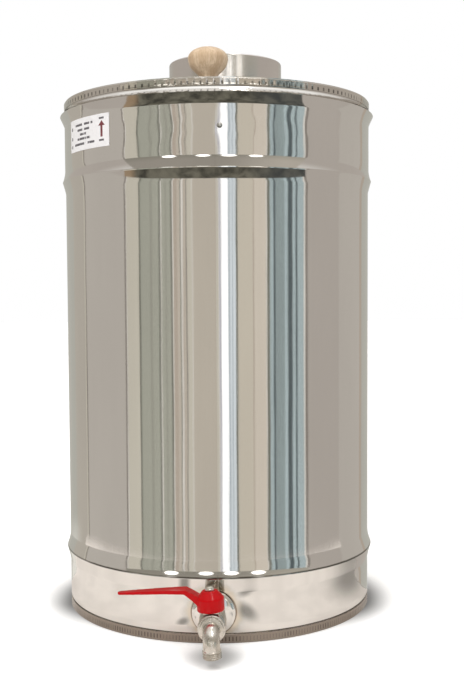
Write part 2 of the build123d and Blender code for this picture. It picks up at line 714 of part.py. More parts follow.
# ------------------------------------------------------------------------------ bevel gears
crank_pitch = gear_module * crank_teeth / 2
shaft_pitch = gear_module * shaft_teeth / 2
cone_distance = sqrt(crank_pitch ** 2 + shaft_pitch ** 2)
inner_scale = (cone_distance - gear_face) / cone_distance
profile_shift = 0.3           # the pinion's teeth are made stouter and the wheel's thinner
root_overlap = 0.7            # how far a tooth is sunk into its blank
shaft_gear_tooth = gear_module * (pi / 2 + 2 * profile_shift * tan(pressure_angle)) - backlash
crank_gear_tooth = gear_module * (pi / 2 - 2 * profile_shift * tan(pressure_angle)) - backlash
long_tooth = 3.1              # pinion tip above the pitch cone
short_tooth = 1.7             # wheel tip above the pitch cone
tooth_clearance = 0.675       # extra depth below the other gear's tip


def involute(angle):
    return tan(angle) - angle


def tooth_outline(pitch, cone_angle, thickness, above, below, scale):
    """One bevel tooth across the cone: (across, outwards) points from root to tip and back."""
    virtual = pitch / cos(cone_angle)
    base = virtual * cos(pressure_angle)
    root = virtual - below - root_overlap
    tip = virtual + above
    waist = max(base, root + root_overlap)
    flank = [root] + [waist + (tip - waist) * step / 4 for step in range(5)]
    right = []
    for distance in flank:
        on_involute = max(distance, base)
        half = thickness / (2 * virtual) + involute(pressure_angle) - involute(acos(base / on_involute))
        right.append((scale * distance * sin(half), scale * (distance * cos(half) - virtual)))
    return right + [(-across, outward) for across, outward in reversed(right)]


def tooth(pitch, mate_pitch, thickness, above, below):
    """One tooth as a ruled loft from the outer to the inner end; its axis is Z, its apex the origin."""
    cone_angle = acos(mate_pitch / cone_distance)
    sections = []
    for scale in (1.0, inner_scale):
        distance = cone_distance * scale
        place = (distance * sin(cone_angle), 0, distance * cos(cone_angle))
        towards_apex = (-sin(cone_angle), 0, -cos(cone_angle))
        with BuildSketch(Plane(origin=place, x_dir=(0, 1, 0), z_dir=towards_apex)) as section:
            with BuildLine():
                Polyline(*tooth_outline(pitch, cone_angle, thickness, above, below, scale), close=True)
            make_face()
        sections.append(section.sketch)
    return loft(sections, ruled=True)


with BuildPart() as crank_gear_blank:
    turned([
        (7.05, 11.5), (21.45, 13.75), (30.77, 19.72), (28.9, 25.5), (12, 27), (12, 31.4), (7.05, 31.4),
    ])
with BuildPart() as crank_gear_tooth_solid:
    tooth(crank_pitch, shaft_pitch, crank_gear_tooth, short_tooth, long_tooth + tooth_clearance + 0.1)
with BuildPart() as shaft_gear_blank:
    turned([(8.05, 23.4), (9.85, 23.4), (14.13, 33.56), (13.2, 36), (13.2, 47), (8.05, 47)])
with BuildPart() as shaft_gear_tooth_solid:
    tooth(shaft_pitch, crank_pitch, shaft_gear_tooth, long_tooth, short_tooth + tooth_clearance)

# the pinion's tooth and the wheel's gap meet at the mesh point below and behind the apex
apex = (0, 0, crank_height)
with BuildPart(Plane(origin=apex, x_dir=(0, 1, 0), z_dir=(0, 0, -1))) as bevel_pinion:
    add(shaft_gear_blank.part)
    with PolarLocations(0, shaft_teeth):
        add(shaft_gear_tooth_solid.part)
    pin_height = 637.0
    tube(-20, 20, 2.03, base=Plane(origin=(0, 0, pin_height), z_dir=(1, 0, 0)), mode=Mode.SUBTRACT)
bevel_pinion.part.label = "bevel_pinion"
export_step(bevel_pinion.part, "parts/bevel_pinion.step")

crank_gear_pin = 29.2
gear_pin_axis = Plane(origin=(0, crank_gear_pin, crank_height), z_dir=(1, 0, 0))
with BuildPart(Plane(origin=apex, x_dir=(0, 0, -1), z_dir=(0, 1, 0))) as bevel_gear:
    add(crank_gear_blank.part)
    with PolarLocations(0, crank_teeth, start_angle=180 / crank_teeth):
        add(crank_gear_tooth_solid.part)
    tube(-20, 20, 1.53, base=gear_pin_axis, mode=Mode.SUBTRACT)
bevel_gear.part.label = "bevel_gear"
export_step(bevel_gear.part, "parts/bevel_gear.step")

# ------------------------------------------------------------------------------ rotor
shaft_bottom = 62.15
shaft_top = 656.5
with BuildPart() as rotor_shaft:
    tube(shaft_bottom, shaft_top, shaft_radius)
    tube(-20, 20, 2.03, base=Plane(origin=(0, 0, pin_height), z_dir=(1, 0, 0)), mode=Mode.SUBTRACT)
rotor_shaft.part.label = "rotor_shaft"
export_step(rotor_shaft.part, "parts/rotor_shaft.step")

with BuildPart() as pinion_pin:
    tube(-13, 13, 2.0, base=Plane(origin=(0, 0, pin_height), z_dir=(1, 0, 0)))
pinion_pin.part.label = "pinion_pin"
export_step(pinion_pin.part, "parts/pinion_pin.step")

# bottom spider: flat bars under the cage, welded to a hub on the shaft
spider_bottom = 80.0
spider_top = 83.9
post_places = [(162.05, 84), (162.05, -84), (-162.05, 84), (-162.05, -84)]
guide_places = [(149.4, 69), (149.4, -69), (-149.4, 69), (-149.4, -69)]
with BuildPart() as bottom_spider:
    for y in (-85, 0, 85):
        reach = 60 if y == 0 else 166
        block((-reach, reach), (y - 9, y + 9), (spider_bottom, spider_top))
    for x in (-60, 60):
        block((x - 9, x + 9), (-113, 113), (spider_bottom, spider_top))
    tube(spider_bottom, 100, 14.0)
    tube(spider_bottom - 1, 101, shaft_radius + 0.05, mode=Mode.SUBTRACT)
bottom_spider.part.label = "bottom_spider"
export_step(bottom_spider.part, "parts/bottom_spider.step")

with BuildPart() as top_arm:
    block((-hoop_half_x, hoop_half_x), (-20, 20), (560.05, 563))
    tube(545, 560.1, 14.0)
    tube(540, 570, shaft_radius + 0.05, mode=Mode.SUBTRACT)
top_arm.part.label = "top_arm"
export_step(top_arm.part, "parts/top_arm.step")

with BuildPart() as cage_hoops:
    for bottom in hoop_bottoms:
        with BuildSketch(Plane.XY.offset(bottom)):
            RectangleRounded(2 * hoop_half_x, 2 * hoop_half_y, 14)
            inside = (2 * (hoop_half_x - hoop_bar), 2 * (hoop_half_y - hoop_bar))
            RectangleRounded(inside[0], inside[1], 3, mode=Mode.SUBTRACT)
        extrude(amount=hoop_height)
cage_hoops.part.label = "cage_hoops"
export_step(cage_hoops.part, "parts/cage_hoops.step")

with BuildPart() as cage_posts:
    for x, y in post_places:
        tube(spider_top + 0.05, 560.5, 4.0, base=Plane(origin=(x, y, 0)))
cage_posts.part.label = "cage_posts"
export_step(cage_posts.part, "parts/cage_posts.step")

with BuildPart() as comb_guides:
    for x, y in guide_places:
        tube(spider_top + 0.1, 560, 2.5, base=Plane(origin=(x, y, 0)))
comb_guides.part.label = "comb_guides"
export_step(comb_guides.part, "parts/comb_guides.step")

screen_bottom = 86.0
screen_top = 560.0
screen_half = 149.0
window = 23.0


def comb_screen(inner_face):
    """An upright sheet pierced with square windows; inner_face is the y of its side nearer -Y."""
    middle = (screen_bottom + screen_top) / 2
    with BuildSketch(Plane(origin=(0, inner_face, middle), x_dir=(-1, 0, 0), z_dir=(0, 1, 0))) as sheet:
        Rectangle(2 * screen_half, screen_top - screen_bottom)
        with GridLocations(29, 29, 10, 16):
            Rectangle(window, window, mode=Mode.SUBTRACT)
    extrude(sheet.sketch, amount=screen_sheet)


with BuildPart() as comb_screen_front:
    comb_screen(-screen_face)
comb_screen_front.part.label = "comb_screen_front"
export_step(comb_screen_front.part, "parts/comb_screen_front.step")

with BuildPart() as comb_screen_rear:
    comb_screen(screen_face - screen_sheet)
comb_screen_rear.part.label = "comb_screen_rear"
export_step(comb_screen_rear.part, "parts/comb_screen_rear.step")

# ------------------------------------------------------------------------------ crank
arm_inner = 216.0
arm_outer = 222.0
shaft_end_radius = 6.0
with BuildPart() as crank_shaft:
    tube(9.5, arm_inner, crank_shaft_radius, base=crank_axis)
    tube(arm_inner - 0.01, 230, shaft_end_radius, base=crank_axis)
    tube(-20, 20, 1.53, base=gear_pin_axis, mode=Mode.SUBTRACT)
crank_shaft.part.label = "crank_shaft"
export_step(crank_shaft.part, "parts/crank_shaft.step")

with BuildPart() as gear_pin:
    tube(-12, 12, 1.5, base=gear_pin_axis)
gear_pin.part.label = "gear_pin"
export_step(gear_pin.part, "parts/gear_pin.step")

with BuildPart() as crank_arm:
    with BuildSketch(crank_axis.offset(arm_inner + 0.05)):
        with Locations((0, -crank_throw / 2)):
            SlotCenterToCenter(crank_throw, 26, rotation=90)
        Circle(shaft_end_radius + 0.05, mode=Mode.SUBTRACT)
        with Locations((0, -crank_throw)):
            Circle(5.05, mode=Mode.SUBTRACT)
    extrude(amount=arm_outer - arm_inner)
crank_arm.part.label = "crank_arm"
export_step(crank_arm.part, "parts/crank_arm.step")

with BuildPart() as crank_nut:
    tube(222.1, 223.6, 11.0, shaft_end_radius + 0.05, crank_axis)
    hexagon(223.5, 231, 19.0, shaft_end_radius + 0.05, crank_axis)
    turned([(0, 230.5), (9, 230.5), (7.5, 235), (4, 237.6), (0, 238.4)], base=crank_axis)
crank_nut.part.label = "crank_nut"
export_step(crank_nut.part, "parts/crank_nut.step")

with BuildPart() as grip_pin:
    tube(211.5, arm_inner, 8.0, base=grip_axis)
    tube(arm_inner - 0.01, 331, 5.0, base=grip_axis)
grip_pin.part.label = "grip_pin"
export_step(grip_pin.part, "parts/grip_pin.step")

with BuildPart() as grip_nut:
    tube(322.4, 324, 9.0, 5.05, grip_axis)
    hexagon(323.9, 329, 15.0, 5.05, grip_axis)
grip_nut.part.label = "grip_nut"
export_step(grip_nut.part, "parts/grip_nut.step")

grip_start = 222.6
grip_end = 322.0
with BuildPart() as crank_grip:
    with BuildSketch(side_plane(grip_axis)):
        with BuildLine():
            Line((0, grip_start), (12, grip_start))
            ThreePointArc((12, grip_start), (16, (grip_start + grip_end) / 2), (12, grip_end))
            Line((12, grip_end), (0, grip_end))
            Line((0, grip_end), (0, grip_start))
        make_face()
    revolve(axis=Axis(grip_axis.origin, grip_axis.z_dir))
    tube(200, 340, 5.0 + 0.08, base=grip_axis, mode=Mode.SUBTRACT)
crank_grip.part.label = "crank_grip"
export_step(crank_grip.part, "parts/crank_grip.step")
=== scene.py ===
import json
import math
import random

import bmesh
import bpy
from mathutils import Matrix, Vector, noise


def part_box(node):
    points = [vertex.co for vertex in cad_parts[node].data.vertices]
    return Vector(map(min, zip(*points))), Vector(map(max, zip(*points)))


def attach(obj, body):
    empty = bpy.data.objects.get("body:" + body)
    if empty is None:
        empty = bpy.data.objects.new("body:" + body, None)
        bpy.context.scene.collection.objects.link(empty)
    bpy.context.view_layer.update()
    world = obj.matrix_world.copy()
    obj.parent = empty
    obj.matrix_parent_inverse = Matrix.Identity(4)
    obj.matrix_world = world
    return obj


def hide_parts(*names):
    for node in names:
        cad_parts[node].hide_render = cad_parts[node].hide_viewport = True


# A stainless honey extractor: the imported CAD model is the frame, and this script makes its looks.
# Lengths are metres in the CAD model's frame: the drum's axis is Z, the floor is z = 0, the tap is at -Y.

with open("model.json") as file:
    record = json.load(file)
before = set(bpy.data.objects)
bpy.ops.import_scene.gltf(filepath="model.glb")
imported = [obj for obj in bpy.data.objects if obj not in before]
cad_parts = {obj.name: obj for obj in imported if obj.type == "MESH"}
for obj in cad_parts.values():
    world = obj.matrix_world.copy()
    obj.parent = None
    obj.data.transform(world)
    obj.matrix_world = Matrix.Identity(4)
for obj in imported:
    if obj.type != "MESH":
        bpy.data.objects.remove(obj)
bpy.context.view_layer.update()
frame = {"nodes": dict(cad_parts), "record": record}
nodes = frame["nodes"]
MM = 0.001
random.seed(7)
SEAM_X = 6.5 * MM       # the wall's upright weld, just right of the tap


# ---- sizes
def plan_centre(node):
    """The middle of a node's box, seen from above."""
    low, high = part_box(node)
    return Vector(((low.x + high.x) / 2, (low.y + high.y) / 2, 0))


DRUM_RADIUS = 200 * MM
NECK_RADIUS = 200.8 * MM
SHEET = 1.0 * MM
CRANK_Z = 679 * MM
CRIMP_WANDER, CRIMP_WAVES = 0.22, 11    # how far the folded rings' teeth wander, in teeth, and how often
COVER_CENTRE = plan_centre("gear_cover")
KNOB_CENTRE = plan_centre("lid_knob")

# the tap leans a little: its stem's line and its ball's centre are those of the tap's joint
tap_turn = next(joint for joint in frame["record"]["behaviour"]["joints"] if joint["name"] == "tap_turn")
BALL = Vector(tap_turn["pos_m"])
TAP_UP = Vector(tap_turn["axis"]).normalized()
TAP_OUT = Vector((BALL.x, BALL.y, 0)).normalized()
TAP_ACROSS = TAP_UP.cross(TAP_OUT)
TAP_HEIGHT = BALL.z


# ---- shader building
class Shader:
    """A material being put together; each method adds a node and gives its output socket."""

    def __init__(self, name):
        self.material = bpy.data.materials.new(name)
        self.material.use_nodes = True
        self.tree = self.material.node_tree
        self.surface = self.tree.nodes["Principled BSDF"]

    def add(self, kind, inputs=None, **settings):
        node = self.tree.nodes.new(kind)
        for key, value in settings.items():
            setattr(node, key, value)
        for key, value in (inputs or {}).items():
            self.put(node.inputs[key], value)
        return node

    def put(self, socket, value):
        if isinstance(value, bpy.types.NodeSocket):
            self.tree.links.new(value, socket)
        else:
            socket.default_value = value

    def set(self, **values):
        """Set the surface's own sockets; an underscore in a name stands for a space."""
        for key, value in values.items():
            if isinstance(value, tuple) and len(value) == 3:
                value = (*value, 1.0)
            self.put(self.surface.inputs[key.replace("_", " ")], value)

    def place(self, scale=(1, 1, 1)):
        """The point's place on the object, in metres, then scaled."""
        where = self.add("ShaderNodeTexCoord").outputs["Object"]
        node = self.add("ShaderNodeMapping", {"Vector": where, "Scale": scale}, vector_type="POINT")
        return node.outputs["Vector"]

    def noise(self, vector, scale, detail=3.0, rough=0.5, warp=0.0):
        node = self.add("ShaderNodeTexNoise", {"Vector": vector, "Scale": scale, "Detail": detail,
                                               "Roughness": rough, "Distortion": warp})
        return node.outputs["Fac"]

    def cells(self, vector, scale):
        node = self.add("ShaderNodeTexVoronoi", {"Vector": vector, "Scale": scale}, feature="SMOOTH_F1")
        return node.outputs["Distance"]

    def math(self, operation, a, b=0.5, c=0.5, clamp=False):
        node = self.add("ShaderNodeMath", operation=operation, use_clamp=clamp)
        for socket, value in zip(node.inputs, (a, b, c)):
            self.put(socket, value)
        return node.outputs["Value"]

    def times(self, a, b, clamp=False):
        return self.math("MULTIPLY", a, b, clamp=clamp)

    def length(self, a, b):
        """The length of a vector, from its two coordinates."""
        squares = self.math("ADD", self.math("POWER", a, 2.0), self.math("POWER", b, 2.0))
        return self.math("SQRT", squares)

    def span(self, value, low, high, out_low=0.0, out_high=1.0):
        """Map low..high to out_low..out_high, smoothly and held at the ends."""
        node = self.add("ShaderNodeMapRange", {"Value": value, "From Min": low, "From Max": high,
                                               "To Min": out_low, "To Max": out_high},
                        interpolation_type="SMOOTHSTEP")
        return node.outputs["Result"]

    def span_linear(self, value, low, high):
        """Map low..high to 0..1 in a straight line, without holding it at the ends."""
        ends = {"Value": value, "From Min": low, "From Max": high}
        node = self.add("ShaderNodeMapRange", ends, clamp=False)
        return node.outputs["Result"]

    def box(self, across, up, left, right, bottom, top):
        """1 inside a rectangle of two coordinates, and 0 outside it."""
        inside = 1.0
        for value, low, high in ((across, left, right), (up, bottom, top)):
            inside = self.times(inside, self.math("GREATER_THAN", value, low))
            inside = self.times(inside, self.math("LESS_THAN", value, high))
        return inside

    def grey(self, value):
        node = self.add("ShaderNodeCombineColor", {"Red": value, "Green": value, "Blue": value})
        return node.outputs["Color"]

    def mix(self, factor, a, b, blend="MIX"):
        node = self.add("ShaderNodeMix", data_type="RGBA", blend_type=blend)
        for index, value in ((0, factor), (6, a), (7, b)):
            if isinstance(value, tuple) and len(value) == 3:
                value = (*value, 1.0)
            self.put(node.inputs[index], value)
        return node.outputs[2]

    def axes(self, vector):
        node = self.add("ShaderNodeSeparateXYZ", {"Vector": vector})
        return node.outputs["X"], node.outputs["Y"], node.outputs["Z"]

    def bump(self, height, strength, distance, under=None):
        node = self.add("ShaderNodeBump", {"Height": height, "Strength": strength, "Distance": distance})
        if under is not None:
            self.put(node.inputs["Normal"], under)
        return node.outputs["Normal"]


def near(shader, value, centre, width):
    """1 where value is at the centre, falling smoothly to 0 at width away."""
    away = shader.math("ABSOLUTE", shader.math("SUBTRACT", value, centre))
    return shader.span(away, 0.0, width, 1.0, 0.0)


# ---- materials
def polished_steel(name, grain=(900, 900, 6), colour=(0.80, 0.79, 0.77), rough=(0.045, 0.10), wave=0.35):
    """Mirror-polished sheet: fine polishing lines along the sheet, faint waves and handling marks."""
    s = Shader(name)
    lines = s.noise(s.place(grain), 1.0, 4.0, 0.6)
    cloud = s.noise(s.place(), 7.0, 3.0, 0.55)
    smear = s.noise(s.place((1, 1, 0.35)), 30.0, 5.0, 0.65, 0.4)
    prints = s.span(smear, 0.60, 0.78)
    tint = s.mix(s.span(cloud, 0.3, 0.7), colour, tuple(c * 0.93 for c in colour))
    tint = s.mix(s.times(lines, 0.10), tint, (0.55, 0.53, 0.50))
    base = s.span(lines, 0.3, 0.7, rough[0], rough[1])
    s.set(Base_Color=tint, Metallic=1.0, Roughness=s.math("MULTIPLY_ADD", prints, 0.10, base))
    low = s.bump(s.noise(s.place((1, 1, 0.5)), 22.0, 2.0, 0.4), wave, 0.0006)
    s.set(Normal=s.bump(lines, 0.06, 0.0001, low))
    return s


def drum_steel():
    """The drum's sheet: polished, with its upright weld seam and the heat colours round the tap."""
    s = Shader("drum_polished_steel")
    x, y, z = s.axes(s.place())
    front = s.math("LESS_THAN", y, 0.0)
    lines = s.noise(s.place((900, 900, 6)), 1.0, 4.0, 0.6)
    cloud = s.noise(s.place((1, 1, 0.25)), 9.0, 3.0, 0.55)

    away_x = s.math("SUBTRACT", x, DRUM_RADIUS * TAP_OUT.x)
    away_z = s.math("SUBTRACT", z, TAP_HEIGHT)
    reach = s.length(away_x, away_z)
    ragged = s.math("MULTIPLY_ADD", s.noise(s.place(), 90.0, 4.0, 0.6), 0.014, reach)
    straw = s.times(near(s, ragged, 0.035, 0.010), front)
    brown = s.times(near(s, reach, 0.0262, 0.0020), front)
    blue = s.times(near(s, ragged, 0.0400, 0.008), front)

    seam_line = s.times(near(s, x, SEAM_X, 0.0012), front)
    seam_low_part = s.span(z, 0.074, 0.084, 1.0, 0.04)
    seam_mark = s.times(seam_line, seam_low_part)
    seam_heat = s.times(near(s, x, SEAM_X, 0.005), front)
    seam_heat = s.times(seam_heat, s.span(z, 0.070, 0.084, 0.8, 0.03))

    tint = s.mix(s.span(cloud, 0.3, 0.7), (0.81, 0.80, 0.785), (0.76, 0.75, 0.735))
    tint = s.mix(s.times(lines, 0.10), tint, (0.55, 0.53, 0.50))
    tint = s.mix(s.times(seam_heat, 0.75), tint, (0.42, 0.33, 0.19))
    tint = s.mix(s.times(seam_mark, 0.8), tint, (0.10, 0.075, 0.05))
    tint = s.mix(s.times(straw, 0.42), tint, (0.58, 0.45, 0.24))
    tint = s.mix(s.times(brown, 0.85), tint, (0.13, 0.07, 0.035))
    tint = s.mix(s.times(blue, 0.22), tint, (0.40, 0.46, 0.52))
    # painted shade and a joint: a ragged dark line round the lower bead's crease, where the base band meets
    # the wall
    ragged_z = s.math("MULTIPLY_ADD", s.noise(s.place((1, 1, 0)), 60.0, 3.0, 0.6), 0.0008, z)
    joint = s.times(near(s, ragged_z, 0.0788, 0.0018), s.span(cloud, 0.36, 0.50, 0.55, 1.0))
    tint = s.mix(joint, tint, (0.07, 0.065, 0.05))
    s.set(Base_Color=tint, Metallic=1.0)

    beads = s.noise(s.place((1, 1, 6)), 160.0, 2.0, 0.5)
    relief = s.bump(s.noise(s.place((1, 1, 0.4)), 16.0, 2.0, 0.4), 0.25, 0.0006)
    neck = s.span(z, 0.565, 0.60)
    dents = s.times(s.noise(s.place((1, 1, 1.6)), 26.0, 1.0, 0.3), neck)
    relief = s.bump(dents, 0.55, 0.0009, relief)
    relief = s.bump(s.times(seam_mark, s.math("MULTIPLY_ADD", beads, 0.5, 0.75)), 0.5, 0.0003, relief)
    s.set(Normal=s.bump(lines, 0.05, 0.0001, relief))

    # the inside is left matt
    base = s.span(lines, 0.3, 0.7, 0.035, 0.085)
    facing_x, facing_y, _ = s.axes(s.add("ShaderNodeNewGeometry").outputs["True Normal"])
    outwards = s.math("MULTIPLY_ADD", facing_x, x, s.times(facing_y, y))
    inside = s.times(s.math("LESS_THAN", outwards, 0.0), 0.34)
    s.set(Roughness=s.math("ADD", inside, s.math("MULTIPLY_ADD", seam_mark, 0.25, base)))
    return s.material


def crimped_steel(name, colour, rough, teeth, low, high):
    """Polished steel of a folded ring, with painted shade in the gaps between its pressed flats."""
    s = polished_steel(name, (300, 300, 900), colour, rough)
    x, y, z = s.axes(s.place())
    angle = s.math("ARCTAN2", y, x)
    wander = s.times(s.math("SINE", s.times(angle, CRIMP_WAVES)), CRIMP_WANDER)
    along = s.math("PINGPONG", s.math("MULTIPLY_ADD", angle, teeth / (2 * math.pi), wander), 0.5)
    # painted shade: the gaps between the pressed flats are darkened, more in some places than in others
    gap = s.span(along, 0.05, 0.22, 1.0, 0.0)
    held = s.times(gap, s.span(s.noise(s.place(), 40.0, 3.0, 0.6), 0.36, 0.60, 0.30, 0.92))
    row = s.times(s.span(z, low, low + 0.001), s.span(z, high - 0.001, high, 1.0, 0.0))
    clean = s.surface.inputs["Base Color"].links[0].from_socket
    s.set(Base_Color=s.mix(s.times(held, row), clean, (0.045, 0.04, 0.034)))
    return s.material


def bare_metal(name, cloud, grain, colours, rough, relief, stretch=(1, 1, 1), marked=(0.3, 0.7)):
    """Metal with a cloudy film over a fine grain; cloud and grain are noise settings."""
    s = Shader(name)
    film = s.noise(s.place(), *cloud)
    marks = s.noise(s.place(stretch), *grain)
    s.set(Base_Color=s.mix(film, *colours), Metallic=1.0, Roughness=s.span(marks, *marked, *rough))
    s.set(Normal=s.bump(marks, *relief))
    return s.material


def satin_steel():
    """Sheet and bar with a mill or brushed finish."""
    colours = ((0.66, 0.655, 0.64), (0.52, 0.515, 0.50))
    return bare_metal("satin_steel", (14.0, 4.0, 0.6), (1.0, 4.0, 0.65), colours, (0.22, 0.38),
                      (0.12, 0.0002), (25, 25, 500), (0.25, 0.75))


def wire_steel():
    """Welded stainless wire, dulled by pickling."""
    cloud = (60.0, 4.0, 0.6)
    colours = ((0.62, 0.61, 0.59), (0.45, 0.44, 0.42))
    return bare_metal("wire_steel", cloud, cloud, colours, (0.26, 0.42), (0.15, 0.0003))


def turned_bar():
    """Ground and turned steel bar, with a film of oil."""
    colours = ((0.63, 0.63, 0.64), (0.47, 0.46, 0.45))
    return bare_metal("turned_bar", (45.0, 4.0, 0.6), (1.0, 3.0, 0.6), colours, (0.13, 0.30),
                      (0.10, 0.0002), (4, 700, 700))


def bronze():
    """Sintered bronze, open-grained and oiled."""
    colours = ((0.60, 0.38, 0.17), (0.42, 0.25, 0.11))
    return bare_metal("sintered_bronze", (90.0, 3.0, 0.6), (1500.0, 4.0, 0.7), colours, (0.28, 0.5),
                      (0.25, 0.0003))


def zinc():
    """Bright zinc plate with a faint yellow and blue bloom."""
    s = Shader("zinc_plate")
    bloom = s.noise(s.place(), 80.0, 3.0, 0.6, 0.5)
    pits = s.noise(s.place(), 900.0, 3.0, 0.6)
    tint = s.mix(s.span(bloom, 0.35, 0.65), (0.66, 0.67, 0.70), (0.68, 0.65, 0.55))
    s.set(Base_Color=tint, Metallic=1.0, Roughness=s.span(pits, 0.3, 0.7, 0.24, 0.42))
    s.set(Normal=s.bump(pits, 0.15, 0.0002))
    return s.material


def gear_steel():
    """Machined gear steel, dark with grease in its hollows."""
    s = Shader("gear_steel")
    grease = s.noise(s.place(), 110.0, 5.0, 0.65, 0.6)
    grain = s.noise(s.place(), 1200.0, 3.0, 0.6)
    held = s.span(grease, 0.48, 0.62)
    tint = s.mix(held, (0.36, 0.36, 0.37), (0.06, 0.045, 0.03))
    s.set(Base_Color=tint, Metallic=s.math("MULTIPLY_ADD", held, -0.7, 1.0, clamp=True))
    s.set(Roughness=s.span(grease, 0.45, 0.65, 0.36, 0.16))
    s.set(Normal=s.bump(grain, 0.12, 0.0002, s.bump(grease, 0.3, 0.0006)))
    return s.material


def cast_paint():
    """Grey hammered paint on a casting, chipped at its edges."""
    s = Shader("cast_paint")
    hammer = s.cells(s.place(), 420.0)
    chips = s.span(s.noise(s.place(), 130.0, 6.0, 0.7), 0.66, 0.70)
    fade = s.noise(s.place(), 25.0, 3.0, 0.5)
    tint = s.mix(fade, (0.235, 0.25, 0.265), (0.30, 0.315, 0.33))
    tint = s.mix(chips, tint, (0.12, 0.10, 0.09))
    s.set(Base_Color=tint, Roughness=s.span(fade, 0.3, 0.7, 0.30, 0.48))
    s.set(Normal=s.bump(chips, -0.3, 0.0004, s.bump(hammer, 0.35, 0.0008)))
    return s.material


def nickel(name="nickel_plate"):
    """Bright nickel over cast brass: soft ripples, and brass showing faintly where it is worn."""
    s = Shader(name)
    ripple = s.noise(s.place(), 90.0, 2.0, 0.4)
    film = s.noise(s.place(), 60.0, 5.0, 0.65, 0.3)
    tint = s.mix(s.span(film, 0.35, 0.70), (0.67, 0.645, 0.605), (0.55, 0.51, 0.445))
    s.set(Base_Color=tint, Metallic=1.0, Roughness=s.span(film, 0.3, 0.7, 0.22, 0.33))
    s.set(Normal=s.bump(ripple, 0.10, 0.0005))
    return s.material


def beech(name, along):
    """Turned beech with its grain along one axis, its small flecks, and a clear lacquer."""
    s = Shader(name)

    def grained(across, with_grain, *settings):
        scale = [across, across, across]
        scale[along] = with_grain
        return s.noise(s.place(scale), 1.0, *settings)

    rings = grained(70.0, 5.0, 4.0, 0.55, 0.35)
    fibre = grained(620.0, 26.0, 4.0, 0.65)
    ray = s.span(grained(520.0, 90.0, 1.0, 0.4), 0.66, 0.74)
    tint = s.mix(s.span(rings, 0.36, 0.62), (0.76, 0.61, 0.445), (0.56, 0.41, 0.27))
    tint = s.mix(s.times(s.span(fibre, 0.42, 0.64), 0.62), tint, (0.44, 0.30, 0.185))
    tint = s.mix(s.times(ray, 0.40), tint, (0.38, 0.25, 0.15))
    s.set(Base_Color=tint, Roughness=s.span(fibre, 0.3, 0.7, 0.42, 0.56))
    s.set(Normal=s.bump(fibre, 0.22, 0.0003), Coat_Weight=0.12, Coat_Roughness=0.32)
    return s.material


def red_coat():
    """Thick glossy red dip on the lever, a little uneven, with dull scuffs."""
    s = Shader("red_coat")
    flow = s.noise(s.place(), 55.0, 2.0, 0.4)
    scuff = s.span(s.noise(s.place((1, 3, 3)), 110.0, 5.0, 0.7), 0.62, 0.74)
    tint = s.mix(flow, (0.46, 0.0015, 0.004), (0.36, 0.001, 0.003))
    tint = s.mix(s.times(scuff, 0.22), tint, (0.50, 0.05, 0.05))
    s.set(Base_Color=tint, Roughness=s.math("MULTIPLY_ADD", scuff, 0.20, 0.20))
    s.set(Normal=s.bump(flow, 0.30, 0.0008))
    s.surface.inputs["Specular IOR Level"].default_value = 0.15
    return s.material


def plastic(name, colour, rough, grain=700.0):
    """Moulded plastic or rubber with a fine grain and slight soiling."""
    s = Shader(name)
    skin = s.noise(s.place(), grain, 3.0, 0.6)
    soil = s.noise(s.place(), 60.0, 4.0, 0.6)
    tint = s.mix(s.span(soil, 0.4, 0.8), colour, tuple(c * 0.75 for c in colour))
    s.set(Base_Color=tint, Roughness=s.span(skin, 0.3, 0.7, rough - 0.06, rough + 0.08))
    s.set(Normal=s.bump(skin, 0.15, 0.0002))
    return s.material


# The label's printed bars, as shares of its size: left edge, right edge and height.
LABEL_BARS = (
    (0.18, 0.66, 0.80), (0.25, 0.58, 0.64), (0.30, 0.50, 0.50), (0.25, 0.60, 0.36), (0.16, 0.70, 0.20),
)

# Its small marks above and below the arrow and down its left edge: the same, and half of their own height.
LABEL_MARKS = (
    (0.80, 0.90, 0.20, 0.03), (0.80, 0.90, 0.87, 0.03),
    (0.045, 0.085, 0.16, 0.05), (0.045, 0.085, 0.42, 0.05), (0.045, 0.085, 0.72, 0.05),
)


def label_print(low, high, start, sweep):
    """White film with plain printed bars and an upward arrow; start and sweep are azimuths."""
    s = Shader("label_film")
    x, y, z = s.axes(s.place())
    azimuth = s.math("ARCTAN2", x, s.times(y, -1.0))
    across = s.span_linear(azimuth, start, start + sweep)
    up = s.span_linear(z, low, high)
    broken = s.span(s.noise(s.place((260, 260, 40)), 1.0, 2.0, 0.5), 0.36, 0.41)
    ink = 0.0
    for left, right, height in LABEL_BARS:
        bar = s.box(across, up, left, right, height - 0.036, height + 0.036)
        ink = s.math("MAXIMUM", ink, s.times(bar, broken))
    for left, right, height, half in LABEL_MARKS:
        ink = s.math("MAXIMUM", ink, s.box(across, up, left, right, height - half, height + half))
    shaft = s.box(across, up, 0.832, 0.874, 0.30, 0.76)
    half = s.times(s.math("SUBTRACT", 0.80, up), 0.42)
    inside = s.math("LESS_THAN", s.math("ABSOLUTE", s.math("SUBTRACT", across, 0.853)), half)
    head = s.times(inside, s.math("GREATER_THAN", up, 0.64))
    arrow = s.math("MAXIMUM", shaft, head)
    paper = s.noise(s.place(), 300.0, 3.0, 0.6)
    tint = s.mix(paper, (0.74, 0.73, 0.745), (0.67, 0.66, 0.67))
    tint = s.mix(s.times(ink, 0.90), tint, (0.035, 0.03, 0.04))
    tint = s.mix(s.times(arrow, 0.97), tint, (0.13, 0.006, 0.015))
    s.set(Base_Color=tint, Roughness=s.span(paper, 0.3, 0.7, 0.34, 0.46), Normal=s.bump(paper, 0.08, 0.0002))
    return s.material


